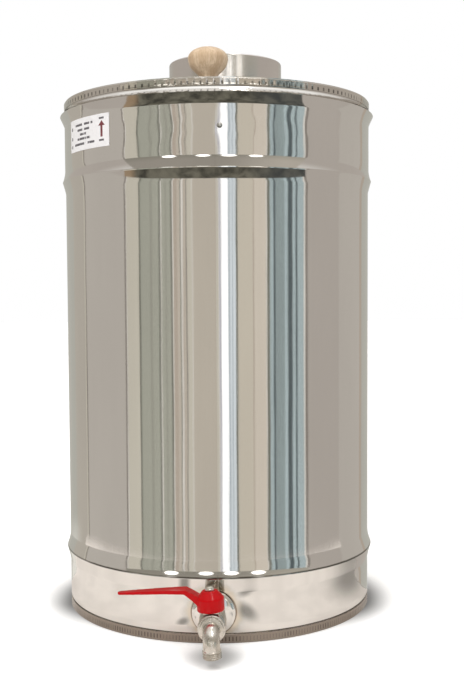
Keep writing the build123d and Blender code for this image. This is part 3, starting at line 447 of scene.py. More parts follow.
# ---- mesh building
# Outlines are in millimetres, as (radius, height) for turned pieces; pieces come out in metres.
def rounded(corners, steps=4):
    """A closed outline with rounded corners; each corner is (x, y) or (x, y, radius)."""
    outline = []
    for index, corner in enumerate(corners):
        here = Vector(corner[:2])
        radius = corner[2] if len(corner) > 2 else 0.0
        if radius <= 0:
            outline.append(tuple(here))
            continue
        back = (Vector(corners[index - 1][:2]) - here).normalized()
        on = (Vector(corners[(index + 1) % len(corners)][:2]) - here).normalized()
        half = back.angle(on) / 2
        centre = here + (back + on).normalized() * radius / math.sin(half)
        first = here + back * radius / math.tan(half) - centre
        last = here + on * radius / math.tan(half) - centre
        turn = first.angle_signed(last)
        for step in range(steps + 1):
            swing = Matrix.Rotation(-turn * step / steps, 2)
            outline.append(tuple(centre + swing @ first))
    return outline


def curve_through(points, steps=6):
    """Points on a smooth curve that passes through the given ones."""
    ends = [points[0], *points, points[-1]]
    found = []
    for index in range(len(points) - 1):
        a, b, c, d = (Vector(p) for p in ends[index:index + 4])
        for step in range(steps):
            t = step / steps
            found.append(tuple(0.5 * (2 * b + (c - a) * t + (2 * a - 5 * b + 4 * c - d) * t ** 2
                                      + (3 * b - a - 3 * c + d) * t ** 3)))
    return found + [tuple(points[-1])]


def skin(rings, closed):
    """Faces over rings of points; a ring of one point is a pole."""
    mesh = bmesh.new()
    made = [[mesh.verts.new(point) for point in ring] for ring in rings]
    pairs = list(zip(made, made[1:]))
    if closed:
        pairs.append((made[-1], made[0]))
    for low, high in pairs:
        count = max(len(low), len(high))
        if count == 1:
            continue
        for index in range(count):
            after = (index + 1) % count
            corners = []
            for ring, place in ((low, index), (low, after), (high, after), (high, index)):
                vertex = ring[place % len(ring)]
                if vertex not in corners:
                    corners.append(vertex)
            mesh.faces.new(corners)
    bmesh.ops.recalc_face_normals(mesh, faces=mesh.faces)
    return mesh


def lathe(outline, steps=96, shape=None):
    """Turn a closed (radius, height) outline about Z; shape(radius, height, angle) may alter a radius."""
    rings = []
    for radius, height in outline:
        ring = []
        for step in range(1 if radius < 1e-6 else steps):
            angle = 2 * math.pi * step / steps
            r = shape(radius, height, angle) if shape else radius
            ring.append(Vector((r * math.cos(angle), r * math.sin(angle), height)) * MM)
        rings.append(ring)
    return skin(rings, closed=True)


def plate(outline, thickness, edge=0.3):
    """A flat plate in XY from z = 0 up, from a closed outline, with softened edges."""
    mesh = bmesh.new()
    face = mesh.faces.new([mesh.verts.new((x * MM, y * MM, 0)) for x, y in outline])
    raised = bmesh.ops.extrude_face_region(mesh, geom=[face])["geom"]
    lifted = [item for item in raised if isinstance(item, bmesh.types.BMVert)]
    bmesh.ops.translate(mesh, verts=lifted, vec=(0, 0, thickness * MM))
    bmesh.ops.recalc_face_normals(mesh, faces=mesh.faces)
    if edge > 0:
        mesh.normal_update()
        rims = [e for e in mesh.edges if len({abs(f.normal.z) > 0.5 for f in e.link_faces}) == 2]
        bmesh.ops.bevel(mesh, geom=rims, offset=edge * MM, segments=2, profile=0.5, affect="EDGES")
    return mesh


def slab(mesh, under, over):
    """Faces over two grids of vertices, and round their shared outline."""
    rows, columns = len(under) - 1, len(under[0]) - 1
    for grid in (under, over):
        for lower, upper in zip(grid, grid[1:]):
            for column in range(columns):
                mesh.faces.new((lower[column], lower[column + 1], upper[column + 1], upper[column]))
    edge = [(0, c) for c in range(columns)] + [(r, columns) for r in range(rows)]
    edge += [(rows, c) for c in range(columns, 0, -1)] + [(r, 0) for r in range(rows, 0, -1)]
    for (r0, c0), (r1, c1) in zip(edge, edge[1:] + edge[:1]):
        mesh.faces.new((under[r0][c0], under[r1][c1], over[r1][c1], over[r0][c0]))


def axis_matrix(origin, along, side=(1, 0, 0)):
    """Placement whose Z is along a direction and whose X is towards side."""
    z = Vector(along).normalized()
    y = z.cross(Vector(side)).normalized()
    x = y.cross(z)
    matrix = Matrix((x, y, z)).transposed().to_4x4()
    matrix.translation = Vector(origin)
    return matrix


def in_scene(name, data):
    """A new object in the scene."""
    made = bpy.data.objects.new(name, data)
    bpy.context.scene.collection.objects.link(made)
    return made


def loose(mesh, at=None, name="tool"):
    """An object made of a mesh, moved into place; by itself it is a tool for a boolean operation."""
    if at is not None:
        bmesh.ops.transform(mesh, matrix=at, verts=mesh.verts)
    data = bpy.data.meshes.new(name)
    mesh.to_mesh(data)
    mesh.free()
    return in_scene(name, data)


def soften(data, crease):
    """Smooth shading, with sharp edges past an angle in degrees."""
    data.shade_smooth()
    data.set_sharp_from_angle(angle=math.radians(crease))


def piece(name, mesh, body, material, replaced, at=None, crease=38):
    """Put a finished mesh in the scene, riding on its body and standing for its CAD node."""
    made = loose(mesh, at, name)
    soften(made.data, crease)
    made.data.materials.append(material)
    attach(made, body)
    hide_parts(replaced)
    return made


def settle(made, crease=38):
    """Apply an object's modifiers to its mesh."""
    graph = bpy.context.evaluated_depsgraph_get()
    data = bpy.data.meshes.new_from_object(made.evaluated_get(graph))
    made.modifiers.clear()
    made.data = data
    soften(data, crease)


def combine(made, operation, *tools, crease=38):
    """Join tools to an object, or cut them from it, and remove them."""
    for tool in tools:
        modifier = made.modifiers.new("boolean", "BOOLEAN")
        modifier.operation = operation
        modifier.solver = "EXACT"
        modifier.object = tool
    settle(made, crease)
    for tool in tools:
        bpy.data.objects.remove(tool)


def hexagonal(flats, angle):
    """The radius of a hexagon at an angle, from its width across flats."""
    sector = (angle + math.pi / 6) % (math.pi / 3) - math.pi / 6
    return flats / 2 / math.cos(sector)


def hex_shape(flats, low, high, chamfer):
    """A lathe shape that makes a chamfered hexagon between two heights."""
    def shape(radius, height, angle):
        if not low - 1e-6 <= height <= high + 1e-6 or radius < flats * 0.45:
            return radius
        inset = min(height - low, high - height)
        return min(hexagonal(flats, angle), flats / 2 + chamfer + inset * 1.7)
    return shape


# ---- drum
def bead(foot, ridge, head, steps=16):
    """Points of a rolled bead: nearly straight up to its ridge, then curving back to the wall above it."""
    points = []
    for step in range(1, steps + 1):
        t = step / steps
        points.append((foot[0] + (ridge[0] - foot[0]) * t ** 1.2, foot[1] + (ridge[1] - foot[1]) * t))
    for step in range(1, steps + 1):
        t = step / steps
        points.append((head[0] + (ridge[0] - head[0]) * (1 - t) ** 1.8, ridge[1] + (head[1] - ridge[1]) * t))
    return points


def run(radius, low, high, step=8.0):
    """Points up a straight wall."""
    count = max(1, round((high - low) / step))
    return [(radius, low + (high - low) * index / count) for index in range(count + 1)]


def drum_line(inset):
    """The drum's wall from foot to rim, moved inwards by inset."""
    wall, neck = 200 - inset, 200.8 - inset
    line = [(wall - 1.4, 1.5), (wall - 1.4, 11.6)] + run(wall, 13.6, 60)
    line += bead((wall, 60), (wall + 4.2, 78), (wall, 97))
    line += run(wall, 97, 540, 16.0)[1:]
    line += bead((wall, 540), (wall + 4.0, 555.5), (neck, 571))
    line += run(neck, 571, 627, 4.0)[1:]
    line += bead((neck, 627), (wall + 6.3, 640), (wall - 0.2, 648))
    return line + [(wall - 0.2, 655)]


def sheet_shape(radius, height, angle):
    """Slight hollows and swells of the rolled sheet, stronger in the neck."""
    where = Vector((math.cos(angle) * 5.0, math.sin(angle) * 5.0, height * 0.016))
    calm = 0.035
    in_neck = max(0.0, 1.0 - abs(height - 599) / 26)
    ripple = noise.noise(where * 1.9) * 0.16 * in_neck
    return radius + noise.noise(where) * calm + ripple - 0.05


def make_drum():
    outline = drum_line(0) + drum_line(SHEET / MM)[::-1]
    wall = piece("drum_wall", lathe(outline, 256, sheet_shape), "drum", drum_steel(),
                 "drum_shell", crease=60)
    socket = lathe([(0, -30), (13.6, -30), (13.6, 30), (0, 30)], 72)
    combine(wall, "DIFFERENCE", loose(socket, TAP_AXIS), crease=60)


def crimped(outer, depth, low, high, teeth, everywhere):
    """A lathe shape that presses flats of uneven depth and tilt into the outer leg of a folded ring."""
    flats = [(random.uniform(0.1, 1.0), random.uniform(-1.0, 1.0)) for _ in range(teeth)]

    def shape(radius, height, angle):
        if radius < outer - 0.6:
            return radius
        place = (angle / (2 * math.pi) * teeth + CRIMP_WANDER * math.sin(angle * CRIMP_WAVES)) % teeth
        index = int(place) % teeth
        along = place - int(place)
        sunk, tilt = flats[index]
        gap = max(0.0, 1.0 - min(along, 1.0 - along) / 0.16)
        press = 0.30 * sunk + 0.30 * gap + 0.40 * (0.5 + tilt * (along - 0.5)) * (1.0 - gap)
        ends = min(1.0, max(0.0, (height - low) / 0.8)) * min(1.0, max(0.0, (high - height) / 1.2))
        front = max(0.0, -math.sin(angle)) ** 3
        return radius - depth * press * ends * (everywhere + (1.0 - everywhere) * front)
    return shape


def leg(radius, low, high, count):
    """Points up the outside of a folded leg."""
    return [(radius, low + (high - low) * index / count) for index in range(count + 1)]


def make_rings():
    steps, foot_steps = 1456, 1872
    rim_teeth, foot_teeth = 156, 312
    rim = [(191.9, 646.0), (192.7, 646.0), (192.7, 655.3), (199.95, 655.3), (199.95, 648.2), (200.8, 648.2)]
    rim += leg(201.2, 648.6, 655.9, 7)
    rim += [(200.9, 656.35), (200.5, 656.5), (192.2, 656.5), (191.6, 656.1), (191.5, 655.5)]
    steel = crimped_steel("rim_steel", (0.66, 0.63, 0.59), (0.06, 0.14), rim_teeth, 0.6484, 0.6535)
    piece("rim_fold", lathe(rim, steps, crimped(201.2, 1.25, 648.2, 656.2, rim_teeth, 0.2)), "drum", steel,
          "rim_ring", crease=50)
    seam = [(194.6, 0.4), (195.0, 0), (199.5, 0), (199.85, 0.3)] + leg(199.95, 0.8, 10.6, 7)
    seam += [(199.7, 11.0), (198.75, 11.0), (198.75, 1.2), (195.8, 1.2), (195.8, 11.0), (194.6, 11.0)]
    foot = crimped_steel("seam_steel", (0.29, 0.25, 0.215), (0.12, 0.26), foot_teeth, 0.0018, 0.0082)
    press = crimped(199.95, 0.7, 0.8, 10.8, foot_teeth, 0.6)
    piece("foot_fold", lathe(seam, foot_steps, press), "drum", foot,
          "bottom_seam", crease=50)


def make_label():
    low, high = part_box("rating_label")
    start, sweep = math.radians(-62.6), math.radians(25.7)
    across, up = 28, 6
    back, front = 0.06, 0.25
    mesh = bmesh.new()
    layers = []
    for lift in (back, front):
        grid = []
        for row in range(up + 1):
            z = low.z + (high.z - low.z) * row / up
            line = []
            for column in range(across + 1):
                angle = start + sweep * column / across
                radius = NECK_RADIUS + lift * MM
                line.append(mesh.verts.new((radius * math.sin(angle), -radius * math.cos(angle), z)))
            grid.append(line)
        layers.append(grid)
    slab(mesh, *layers)
    bmesh.ops.recalc_face_normals(mesh, faces=mesh.faces)
    film = label_print(low.z, high.z, start, sweep)
    piece("label_sticker", mesh, "drum", film, "rating_label")


# ---- covers and knob
def make_gear_cover():
    groove = [(62.5, 716), (61.6, 715.5), (60.4, 715.5), (59.5, 716)]
    outline = rounded([(73.8, 600.5), (75, 600.5, 0.3), (75, 716, 2.2)] + groove
                      + [(0, 716), (0, 714.8), (73.8, 714.8, 1.0)], 6)
    steel = polished_steel("cover_steel", (500, 500, 4), (0.78, 0.755, 0.735), (0.20, 0.26), 0.3).material
    cover = piece("gear_housing_cover", lathe(outline, 192), "drum", steel,
                  "gear_cover", at=Matrix.Translation(COVER_CENTRE))
    slot = [(8.5 * math.cos(a), 8.5 * math.sin(a)) for a in (math.pi * k / 24 for k in range(25))]
    slot += [(-8.5, -90), (8.5, -90)]
    cut = plate(slot, 40, 0.0)
    combine(cover, "DIFFERENCE", loose(cut, axis_matrix((0, 100 * MM, CRANK_Z), (0, -1, 0))))


def inner_edge(angle, gap=77.0):
    """How far out the cut-out round the gear cover reaches at an angle, from the drum's axis."""
    cx, cy = COVER_CENTRE.x / MM, COVER_CENTRE.y / MM
    along = cx * math.cos(angle) + cy * math.sin(angle)
    return along + math.sqrt(along ** 2 - cx ** 2 - cy ** 2 + gap ** 2)


def half_cover_mesh(side):
    """A half disc with a pressed ring near its edge, a skirt and a folded straight edge."""
    turns, rows = 120, 26
    mesh = bmesh.new()
    layers = []
    for base in (656.6, 657.8):
        grid = []
        for turn in range(turns + 1):
            angle = side * math.pi * turn / turns
            inner = inner_edge(angle)
            line = []
            for row in range(rows + 1):
                r = inner + (199.8 - inner) * row / rows
                press = 0.7 * math.exp(-((r - 176) / 3.2) ** 4) + 0.5 * math.exp(-((r - 92) / 2.5) ** 4)
                y = side * max(1.0, abs(r * math.sin(angle)))
                line.append(mesh.verts.new(Vector((r * math.cos(angle), y, base - press)) * MM))
            grid.append(line)
        layers.append(grid)
    slab(mesh, *layers)
    for wall in (skirt_strip(side), flange_strip(side)):
        strip(mesh, wall, 644.0, 656.7)
    bmesh.ops.recalc_face_normals(mesh, faces=mesh.faces)
    return mesh


def skirt_strip(side):
    """Outer and inner edge, in plan, of the skirt under a half cover."""
    ends = math.asin(2.2 / 190.4)
    angles = [ends + (math.pi - 2 * ends) * k / 90 for k in range(91)]
    outer = [(190.9 * math.cos(side * a), 190.9 * math.sin(side * a)) for a in angles]
    inner = [(189.9 * math.cos(side * a), 189.9 * math.sin(side * a)) for a in angles]
    return outer, inner


def flange_strip(side):
    """Outer and inner edge, in plan, of the folded straight edge beside the cut-out."""
    places = (88.5, 120, 155, 189.6)
    return [(x, side * 1.0) for x in places], [(x, side * 2.0) for x in places]


def strip(mesh, edges, low, high):
    """An upright wall between two lines in plan and two heights."""
    outer, inner = edges
    rings = []
    for (ax, ay), (bx, by) in zip(outer, inner):
        corners = ((ax, ay, low), (ax, ay, high), (bx, by, high), (bx, by, low))
        rings.append([mesh.verts.new(Vector(corner) * MM) for corner in corners])
    for near_ring, far_ring in zip(rings, rings[1:]):
        for index in range(4):
            after = (index + 1) % 4
            mesh.faces.new((near_ring[index], near_ring[after], far_ring[after], far_ring[index]))
    mesh.faces.new(rings[0][::-1])
    mesh.faces.new(rings[-1])


def make_half_covers():
    steel = polished_steel("lid_steel", grain=(40, 40, 40), rough=(0.08, 0.17), wave=0.6).material
    piece("fixed_half_cover", half_cover_mesh(1), "drum", steel, "rear_cover")
    piece("loose_half_lid", half_cover_mesh(-1), "lid", steel, "front_lid")


def make_knob():
    radius, belly, rise = 24.2, 32.5, 14.1
    side = [(11.0, 0.6), (9.8, 5), (10.6, 11), (13.4, 14.8), (18.0, 19), (22.2, 24.6), (radius, belly)]
    dome = []
    for degrees in range(6, 90, 6):
        angle = math.radians(degrees)
        dome.append((radius * math.cos(angle) ** 0.94, belly + rise * math.sin(angle)))
    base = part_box("lid_knob")[0].z / MM
    outline = [(0, base), (10.4, base)] + [(r, base + z) for r, z in curve_through(side, 5) + dome]
    outline.append((0, base + belly + rise))
    piece("lid_knob_wood", lathe(outline, 72), "lid", beech("knob_beech", 2), "lid_knob",
          at=Matrix.Translation(KNOB_CENTRE), crease=50)


# ---- tap
TAP_AXIS = axis_matrix(TAP_OUT * DRUM_RADIUS + Vector((0, 0, TAP_HEIGHT)), TAP_OUT, TAP_ACROSS)
STEM_AXIS = axis_matrix(BALL - TAP_UP * TAP_HEIGHT, TAP_UP, TAP_ACROSS)
BALL_OUT = BALL.xy.length - DRUM_RADIUS
WALL_UPRIGHT = STEM_AXIS @ Matrix.Translation((0, BALL_OUT, 0))
TURN_IN = 67.5                  # along the spout from the drum's wall to its bend, in millimetres
BEND = 13.0
BEND_END = TURN_IN + BEND * math.pi / 2
LEVEL = TAP_HEIGHT / MM
SPOUT_END, THREAD_TOP = 11.3, 20.0      # heights, in millimetres
THREAD_RADIUS = 10.48
SPOUT_FOOT = WALL_UPRIGHT @ Vector((0, -(TURN_IN + BEND) * MM, 0))


def make_escutcheon():
    outline = rounded([(13.7, 5.7), (21.6, 4.2, 4), (24.6, 1.9, 1), (25.2, 1.0), (26, 1.0, 0.3),
                       (25.6, 3.0, 2), (22.4, 5.3, 5), (13.7, 7.0, 0.4)], 6)
    piece("tap_cover_washer", lathe(outline, 120), "drum", polished_steel("washer_steel").material,
          "tap_escutcheon", at=TAP_AXIS)


def make_tap_body(metal):
    outline = [(6.5, -6), (10.1, -6), (10.4, -5.6), (10.4, 9.6)]
    outline += [(16.2, height) for height in (9.6, 10.1, 10.7, 11.4, 16.2, 16.9, 17.5, 18)]
    outline += rounded([(12.0, 18, 0), (12.0, 26, 0), (16, 26, 1.6), (16, 62, 1.6), (12.2, 62), (12.2, 36.5)])
    outline += [(6.5, 36.5)]
    shell = lathe(outline, 120, hex_shape(28.0, 9.6, 18.0, 1.1))
    body = piece("tap_barrel", shell, "drum", metal, "tap_body", at=TAP_AXIS)
    tower = lathe(rounded([(0, 44), (11.5, 44), (9, 51.5, 2.5), (9, 57, 0.8), (0, 57)]), 72)
    combine(body, "UNION", loose(tower, STEM_AXIS))
    chamber = lathe([(0, 36.5), (12.2, 36.5), (12.2, 63), (0, 63)], 120)
    packing = lathe([(0, 38), (4.05, 38), (4.05, 51), (7.1, 51), (7.1, 60), (0, 60)], 72)
    combine(body, "DIFFERENCE", loose(chamber, TAP_AXIS), loose(packing, STEM_AXIS))


def spout_ring(along, radius, thread=None, sides=72):
    """A ring round the spout's path; along is the path length from the drum's wall, in WALL_UPRIGHT."""
    swing = max(0.0, min(math.pi / 2, (along - TURN_IN) / BEND))
    down = max(0.0, along - BEND_END)
    out = min(along, TURN_IN) + BEND * math.sin(swing)
    centre = Vector((0, -out, LEVEL - BEND * (1 - math.cos(swing)) - down))
    up = Vector((0, -math.sin(swing), math.cos(swing)))
    ring = []
    for side in range(sides):
        angle = 2 * math.pi * side / sides
        r = radius - (thread(angle, centre.z) if thread else 0.0)
        ring.append((centre + Vector((math.cos(angle), 0, 0)) * r + up * math.sin(angle) * r) * MM)
    return ring


def spout_thread(angle, height):
    """How deep the pipe thread is cut, with 14 turns to the inch and a lead-in at its end."""
    turns = height / 1.814 + angle / (2 * math.pi)
    ridge = abs((turns % 1.0) * 2 - 1)
    cut = 1.05 * min(1.0, max(0.0, ridge * 1.25 - 0.12))
    runout = min(1.0, max(0.0, (THREAD_TOP - 0.4 - height) / 1.2))
    return cut * runout


def make_spout(metal):
    end = BEND_END + LEVEL - BEND - SPOUT_END
    thread_start = BEND_END + LEVEL - BEND - THREAD_TOP
    outer = [(57.5, 12.1), (62.0, 12.1), (62.0, 13.4), (62.5, 14.0), (66.0, 14.0), (66.5, 13.5), (66.6, 12.4),
             (66.9, 10.6), (TURN_IN, 9.7)]
    outer += [(TURN_IN + (BEND_END - TURN_IN) * step / 14, 9.5) for step in range(1, 15)]
    outer += [(thread_start - 0.6, 9.5), (thread_start - 0.1, 10.2)]
    rings = [spout_ring(along, radius) for along, radius in outer]
    count = 64
    for step in range(count + 1):
        along = thread_start + (end - 0.5 - thread_start) * step / count
        rings.append(spout_ring(along, THREAD_RADIUS, spout_thread))
    inner = [(end, 9.3), (end, 7.0), (end - 0.5, 6.5), (BEND_END, 6.5)]
    inner += [(TURN_IN + (BEND_END - TURN_IN) * step / 14, 6.5) for step in range(13, -1, -1)]
    inner.append((57.5, 6.5))
    rings += [spout_ring(along, radius) for along, radius in inner]
    piece("bent_spout", skin(rings, closed=True), "drum", metal, "tap_spout",
          at=WALL_UPRIGHT, crease=42)


def make_lever():
    tip, round_off, half_width = -103.9, -99.6, 4.35
    cup = lathe(rounded([(8.5, 77.4, 1.5), (16, 69, 3), (15.6, 54.5, 0.8), (12.6, 54.5), (13, 69.4, 2),
                         (7.6, 75.2, 1.5), (4.05, 75.2), (4.05, 77.3)]), 96)
    side_line = [(-10, 60), (-10, 70.5), (-20, 77.2), (-26.5, 80.9), (-50, 81.5), (-76, 81.7), (tip, 81.8),
                 (tip, 79.1), (-76, 78.3), (-50, 77.7), (-28.5, 76.4), (-20, 69.0), (-13, 61)]
    arm = plate(side_line, 20, 0)
    lever = piece("lever_dipped_red", cup, "tap_lever", red_coat(), "tap_lever", at=STEM_AXIS)
    arm_piece = loose(arm, STEM_AXIS @ axis_matrix((0, 10 * MM, 0), (0, -1, 0)))
    plan = [(round_off, half_width), (-30, 9.7), (0, 9.7), (0, -9.7), (-30, -9.7), (round_off, -half_width)]
    for step in range(1, 12):
        angle = math.pi * step / 12
        plan.append((round_off - 4.25 * math.sin(angle), -half_width * math.cos(angle)))
    above = STEM_AXIS @ Matrix.Translation((0, 0, 50 * MM))
    combine(arm_piece, "INTERSECT", loose(plate(plan, 40, 0), above))
    combine(lever, "UNION", arm_piece)
    bore = lathe([(0, 50), (12.7, 50), (13.0, 69.3), (7.7, 75.1), (4.05, 75.2), (4.05, 90), (0, 90)], 96)
    combine(lever, "DIFFERENCE", loose(bore, STEM_AXIS))
    remesh = lever.modifiers.new("remesh", "REMESH")
    remesh.mode = "VOXEL"
    remesh.voxel_size = 0.55 * MM
    smooth = lever.modifiers.new("smooth", "SMOOTH")
    smooth.factor = 0.5
    smooth.iterations = 5
    settle(lever, 80)


def make_lever_nut(material):
    """A low hexagonal nut with a domed crown."""
    flats, base, crown = 9.8, 77.5, 79.6
    outline = [(4.05, base)] + [(flats, base + 0.35 * k) for k in range(7)]
    for radius, rise in ((4.75, 0.1), (4.4, 1.0), (3.5, 1.8), (2.0, 2.3), (0, 2.5)):
        outline.append((radius, crown + rise))
    outline += [(0, 81.2), (4.05, 81.2)]
    shape = hex_shape(flats, base, crown, -0.1)
    piece("lever_lock_nut", lathe(outline, 96, shape), "tap_lever", material,
          "lever_nut", at=STEM_AXIS, crease=25)


# ---- comb screens
def wire(mesh, start, end, radius):
    """A straight six-sided wire."""
    matrix = axis_matrix(start, Vector(end) - Vector(start), (0, 1, 0))
    length = (Vector(end) - Vector(start)).length
    rings = []
    for height in (0, length):
        corners = (math.pi * k / 3 + math.pi / 6 for k in range(6))
        rings.append([mesh.verts.new(matrix @ Vector((radius * math.cos(a), radius * math.sin(a), height)))
                      for a in corners])
    low, high = rings
    for index in range(6):
        after = (index + 1) % 6
        mesh.faces.new((low[index], low[after], high[after], high[index]))
    mesh.faces.new(low[::-1])
    mesh.faces.new(high)


def make_screen(node, material):
    low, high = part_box(node)
    radius = 0.42 * MM
    pitch = 8 * MM
    upright_y = low.y + radius
    cross_y = high.y - radius
    mesh = bmesh.new()
    columns = round((high.x - low.x) / pitch)
    rows = round((high.z - low.z) / pitch)
    for column in range(columns + 1):
        x = low.x + radius + (high.x - low.x - 2 * radius) * column / columns
        wire(mesh, (x, upright_y, low.z), (x, upright_y, high.z), radius)
    for row in range(rows + 1):
        z = low.z + radius + (high.z - low.z - 2 * radius) * row / rows
        wire(mesh, (low.x, cross_y, z), (high.x, cross_y, z), radius)
    bmesh.ops.recalc_face_normals(mesh, faces=mesh.faces)
    piece(node + "_wire", mesh, "rotor", material, node, crease=70)


# ---- materials of the CAD nodes
def clothe(material, *names):
    for name in names:
        target = nodes[name]
        if not target.material_slots:
            target.data.materials.append(material)
        for slot in target.material_slots:
            slot.material = material


def make_pieces():
    metal = nickel()
    mesh_steel = wire_steel()
    plate_zinc = zinc()
    satin = satin_steel()
    bar = turned_bar()
    bushes = bronze()

    make_drum()
    make_rings()
    make_label()
    make_gear_cover()
    make_half_covers()
    make_knob()
    make_escutcheon()
    make_tap_body(metal)
    make_spout(metal)
    make_lever()
    make_lever_nut(plate_zinc)
    make_screen("comb_screen_front", mesh_steel)
    make_screen("comb_screen_rear", mesh_steel)

    clothe(satin, "bottom_panel", "crossbar", "crossbar_brackets", "bottom_spider", "top_arm", "cage_hoops",
           "cage_posts", "comb_guides", "lid_clip", "rim_rivet", "bottom_bearing_cup", "tap_socket")
    clothe(plate_zinc, "crossbar_bolts", "housing_bolts", "bracket_bolts", "pedestal_bolts",
           "gear_cover_screws", "rear_cover_screws", "knob_screw", "crank_nut", "grip_nut",
           "tap_packing_nut", "gear_pin", "pinion_pin", "grip_pin", "crank_arm", "tap_stem")
    clothe(bar, "rotor_shaft", "crank_shaft")
    clothe(gear_steel(), "bevel_gear", "bevel_pinion")
    clothe(cast_paint(), "housing_base", "upper_bearing_housing", "crank_bracket", "crank_pedestal")
    clothe(bushes, "upper_bush", "bottom_bush", "crank_inner_bush", "crank_outer_bush")
    clothe(nickel("chromed_ball"), "tap_ball", "thrust_ball")
    clothe(plastic("seat_plastic", (0.78, 0.77, 0.73), 0.38), "tap_seats", "tap_packing")
    clothe(plastic("seal_rubber", (0.025, 0.024, 0.023), 0.55), "tap_seal")
    clothe(beech("grip_beech", 1), "crank_grip")


# ---- world and light
TONES = {
    "rim": (0.66, 0.645, 0.64), "edge": (0.50, 0.49, 0.44), "grey": (0.545, 0.505, 0.455),
    "left edge": (0.515, 0.475, 0.415), "warm": (0.50, 0.455, 0.41), "sand": (0.64, 0.60, 0.51),
    "beige": (0.58, 0.525, 0.445), "tan": (0.49, 0.42, 0.35), "olive": (0.415, 0.415, 0.35),
    "deep olive": (0.36, 0.355, 0.30), "dark olive": (0.20, 0.20, 0.165), "line": (0.27, 0.24, 0.21),
    "bright": (0.80, 0.76, 0.70), "mauve": (0.58, 0.57, 0.61), "cream": (0.67, 0.61, 0.51),
    "light cream": (0.73, 0.655, 0.56), "white": (1.45, 1.45, 1.45), "pale blue": (0.80, 0.86, 0.90),
    "soft blue": (0.50, 0.56, 0.60), "sky": (0.44, 0.52, 0.53), "slate": (0.30, 0.355, 0.355),
    "dark": (0.10, 0.12, 0.125),
}

# The studio's screens and gaps round the drum: where each starts, in degrees from the front towards +X.
LEFT_SCREENS = (
    (-180, "rim"), (-166, "edge"), (-135, "left edge"), (-116, "sand"), (-114.6, "line"), (-112.8, "grey"),
    (-69.8, "line"), (-68.7, "bright"), (-67.6, "sand"), (-57.2, "dark olive"), (-56, "olive"),
    (-48, "deep olive"), (-46, "olive"), (-41.3, "dark olive"), (-39.8, "bright"), (-39.3, "olive"),
    (-36, "deep olive"), (-34.5, "olive"), (-31.8, "dark olive"), (-30.8, "bright"), (-30, "tan"),
    (-27, "beige"), (-24.9, "dark olive"), (-24.1, "bright"), (-22.8, "tan"), (-22.2, "beige"),
    (-20.6, "line"), (-20, "sand"), (-16.4, "bright"), (-15.6, "beige"),
)
RIGHT_SCREENS = (
    (0, "beige"), (1.3, "sand"), (2.3, "bright"), (2.9, "line"), (3.5, "mauve"), (4.9, "white"),
    (9.2, "soft blue"), (11.2, "pale blue"), (12.6, "soft blue"), (13.1, "pale blue"), (14.9, "dark olive"),
    (16.6, "cream"), (27.8, "tan"), (28.4, "light cream"), (37.6, "bright"), (38.3, "dark olive"),
    (40.5, "sky"), (43.2, "dark"), (44.6, "slate"), (52, "sky"), (54.3, "dark"), (58.2, "sky"),
    (61.0, "dark"), (62.2, "sky"), (68.2, "bright"), (69.2, "line"), (71.7, "warm"), (104, "grey"),
    (136, "tan"), (141, "edge"), (166, "rim"),
)

# Round lamps above the screens, in the same degrees.
LAMPS = (-33.0, -7.5, 11.0, 31.0)


class WorldShader(Shader):
    """The world's shader, built with the same methods as a material's."""

    def __init__(self, name):
        self.world = bpy.data.worlds.new(name)
        self.world.use_nodes = True
        self.tree = self.world.node_tree
        self.surface = self.tree.nodes["Background"]

    def screens(self, position, stops):
        node = self.add("ShaderNodeValToRGB", {"Fac": position})
        ramp = node.color_ramp
        ramp.interpolation = "CONSTANT"
        ramp.elements.remove(ramp.elements[1])
        first = stops[0][0]
        ramp.elements[0].position = 0.0
        ramp.elements[0].color = (*TONES[stops[0][1]], 1.0)
        for start, tone in stops[1:]:
            element = ramp.elements.new((start - first) / 180)
            element.color = (*TONES[tone], 1.0)
        return node.outputs["Color"]

    def stripes(self, degrees, scale, low, high):
        """Upright stripes of uneven width and tone, by direction."""
        settings = {"W": self.times(degrees, scale), "Detail": 3.0, "Roughness": 0.6}
        tone = self.add("ShaderNodeTexNoise", settings, noise_dimensions="1D")
        return self.span(tone.outputs["Fac"], 0.36, 0.64, low, high)


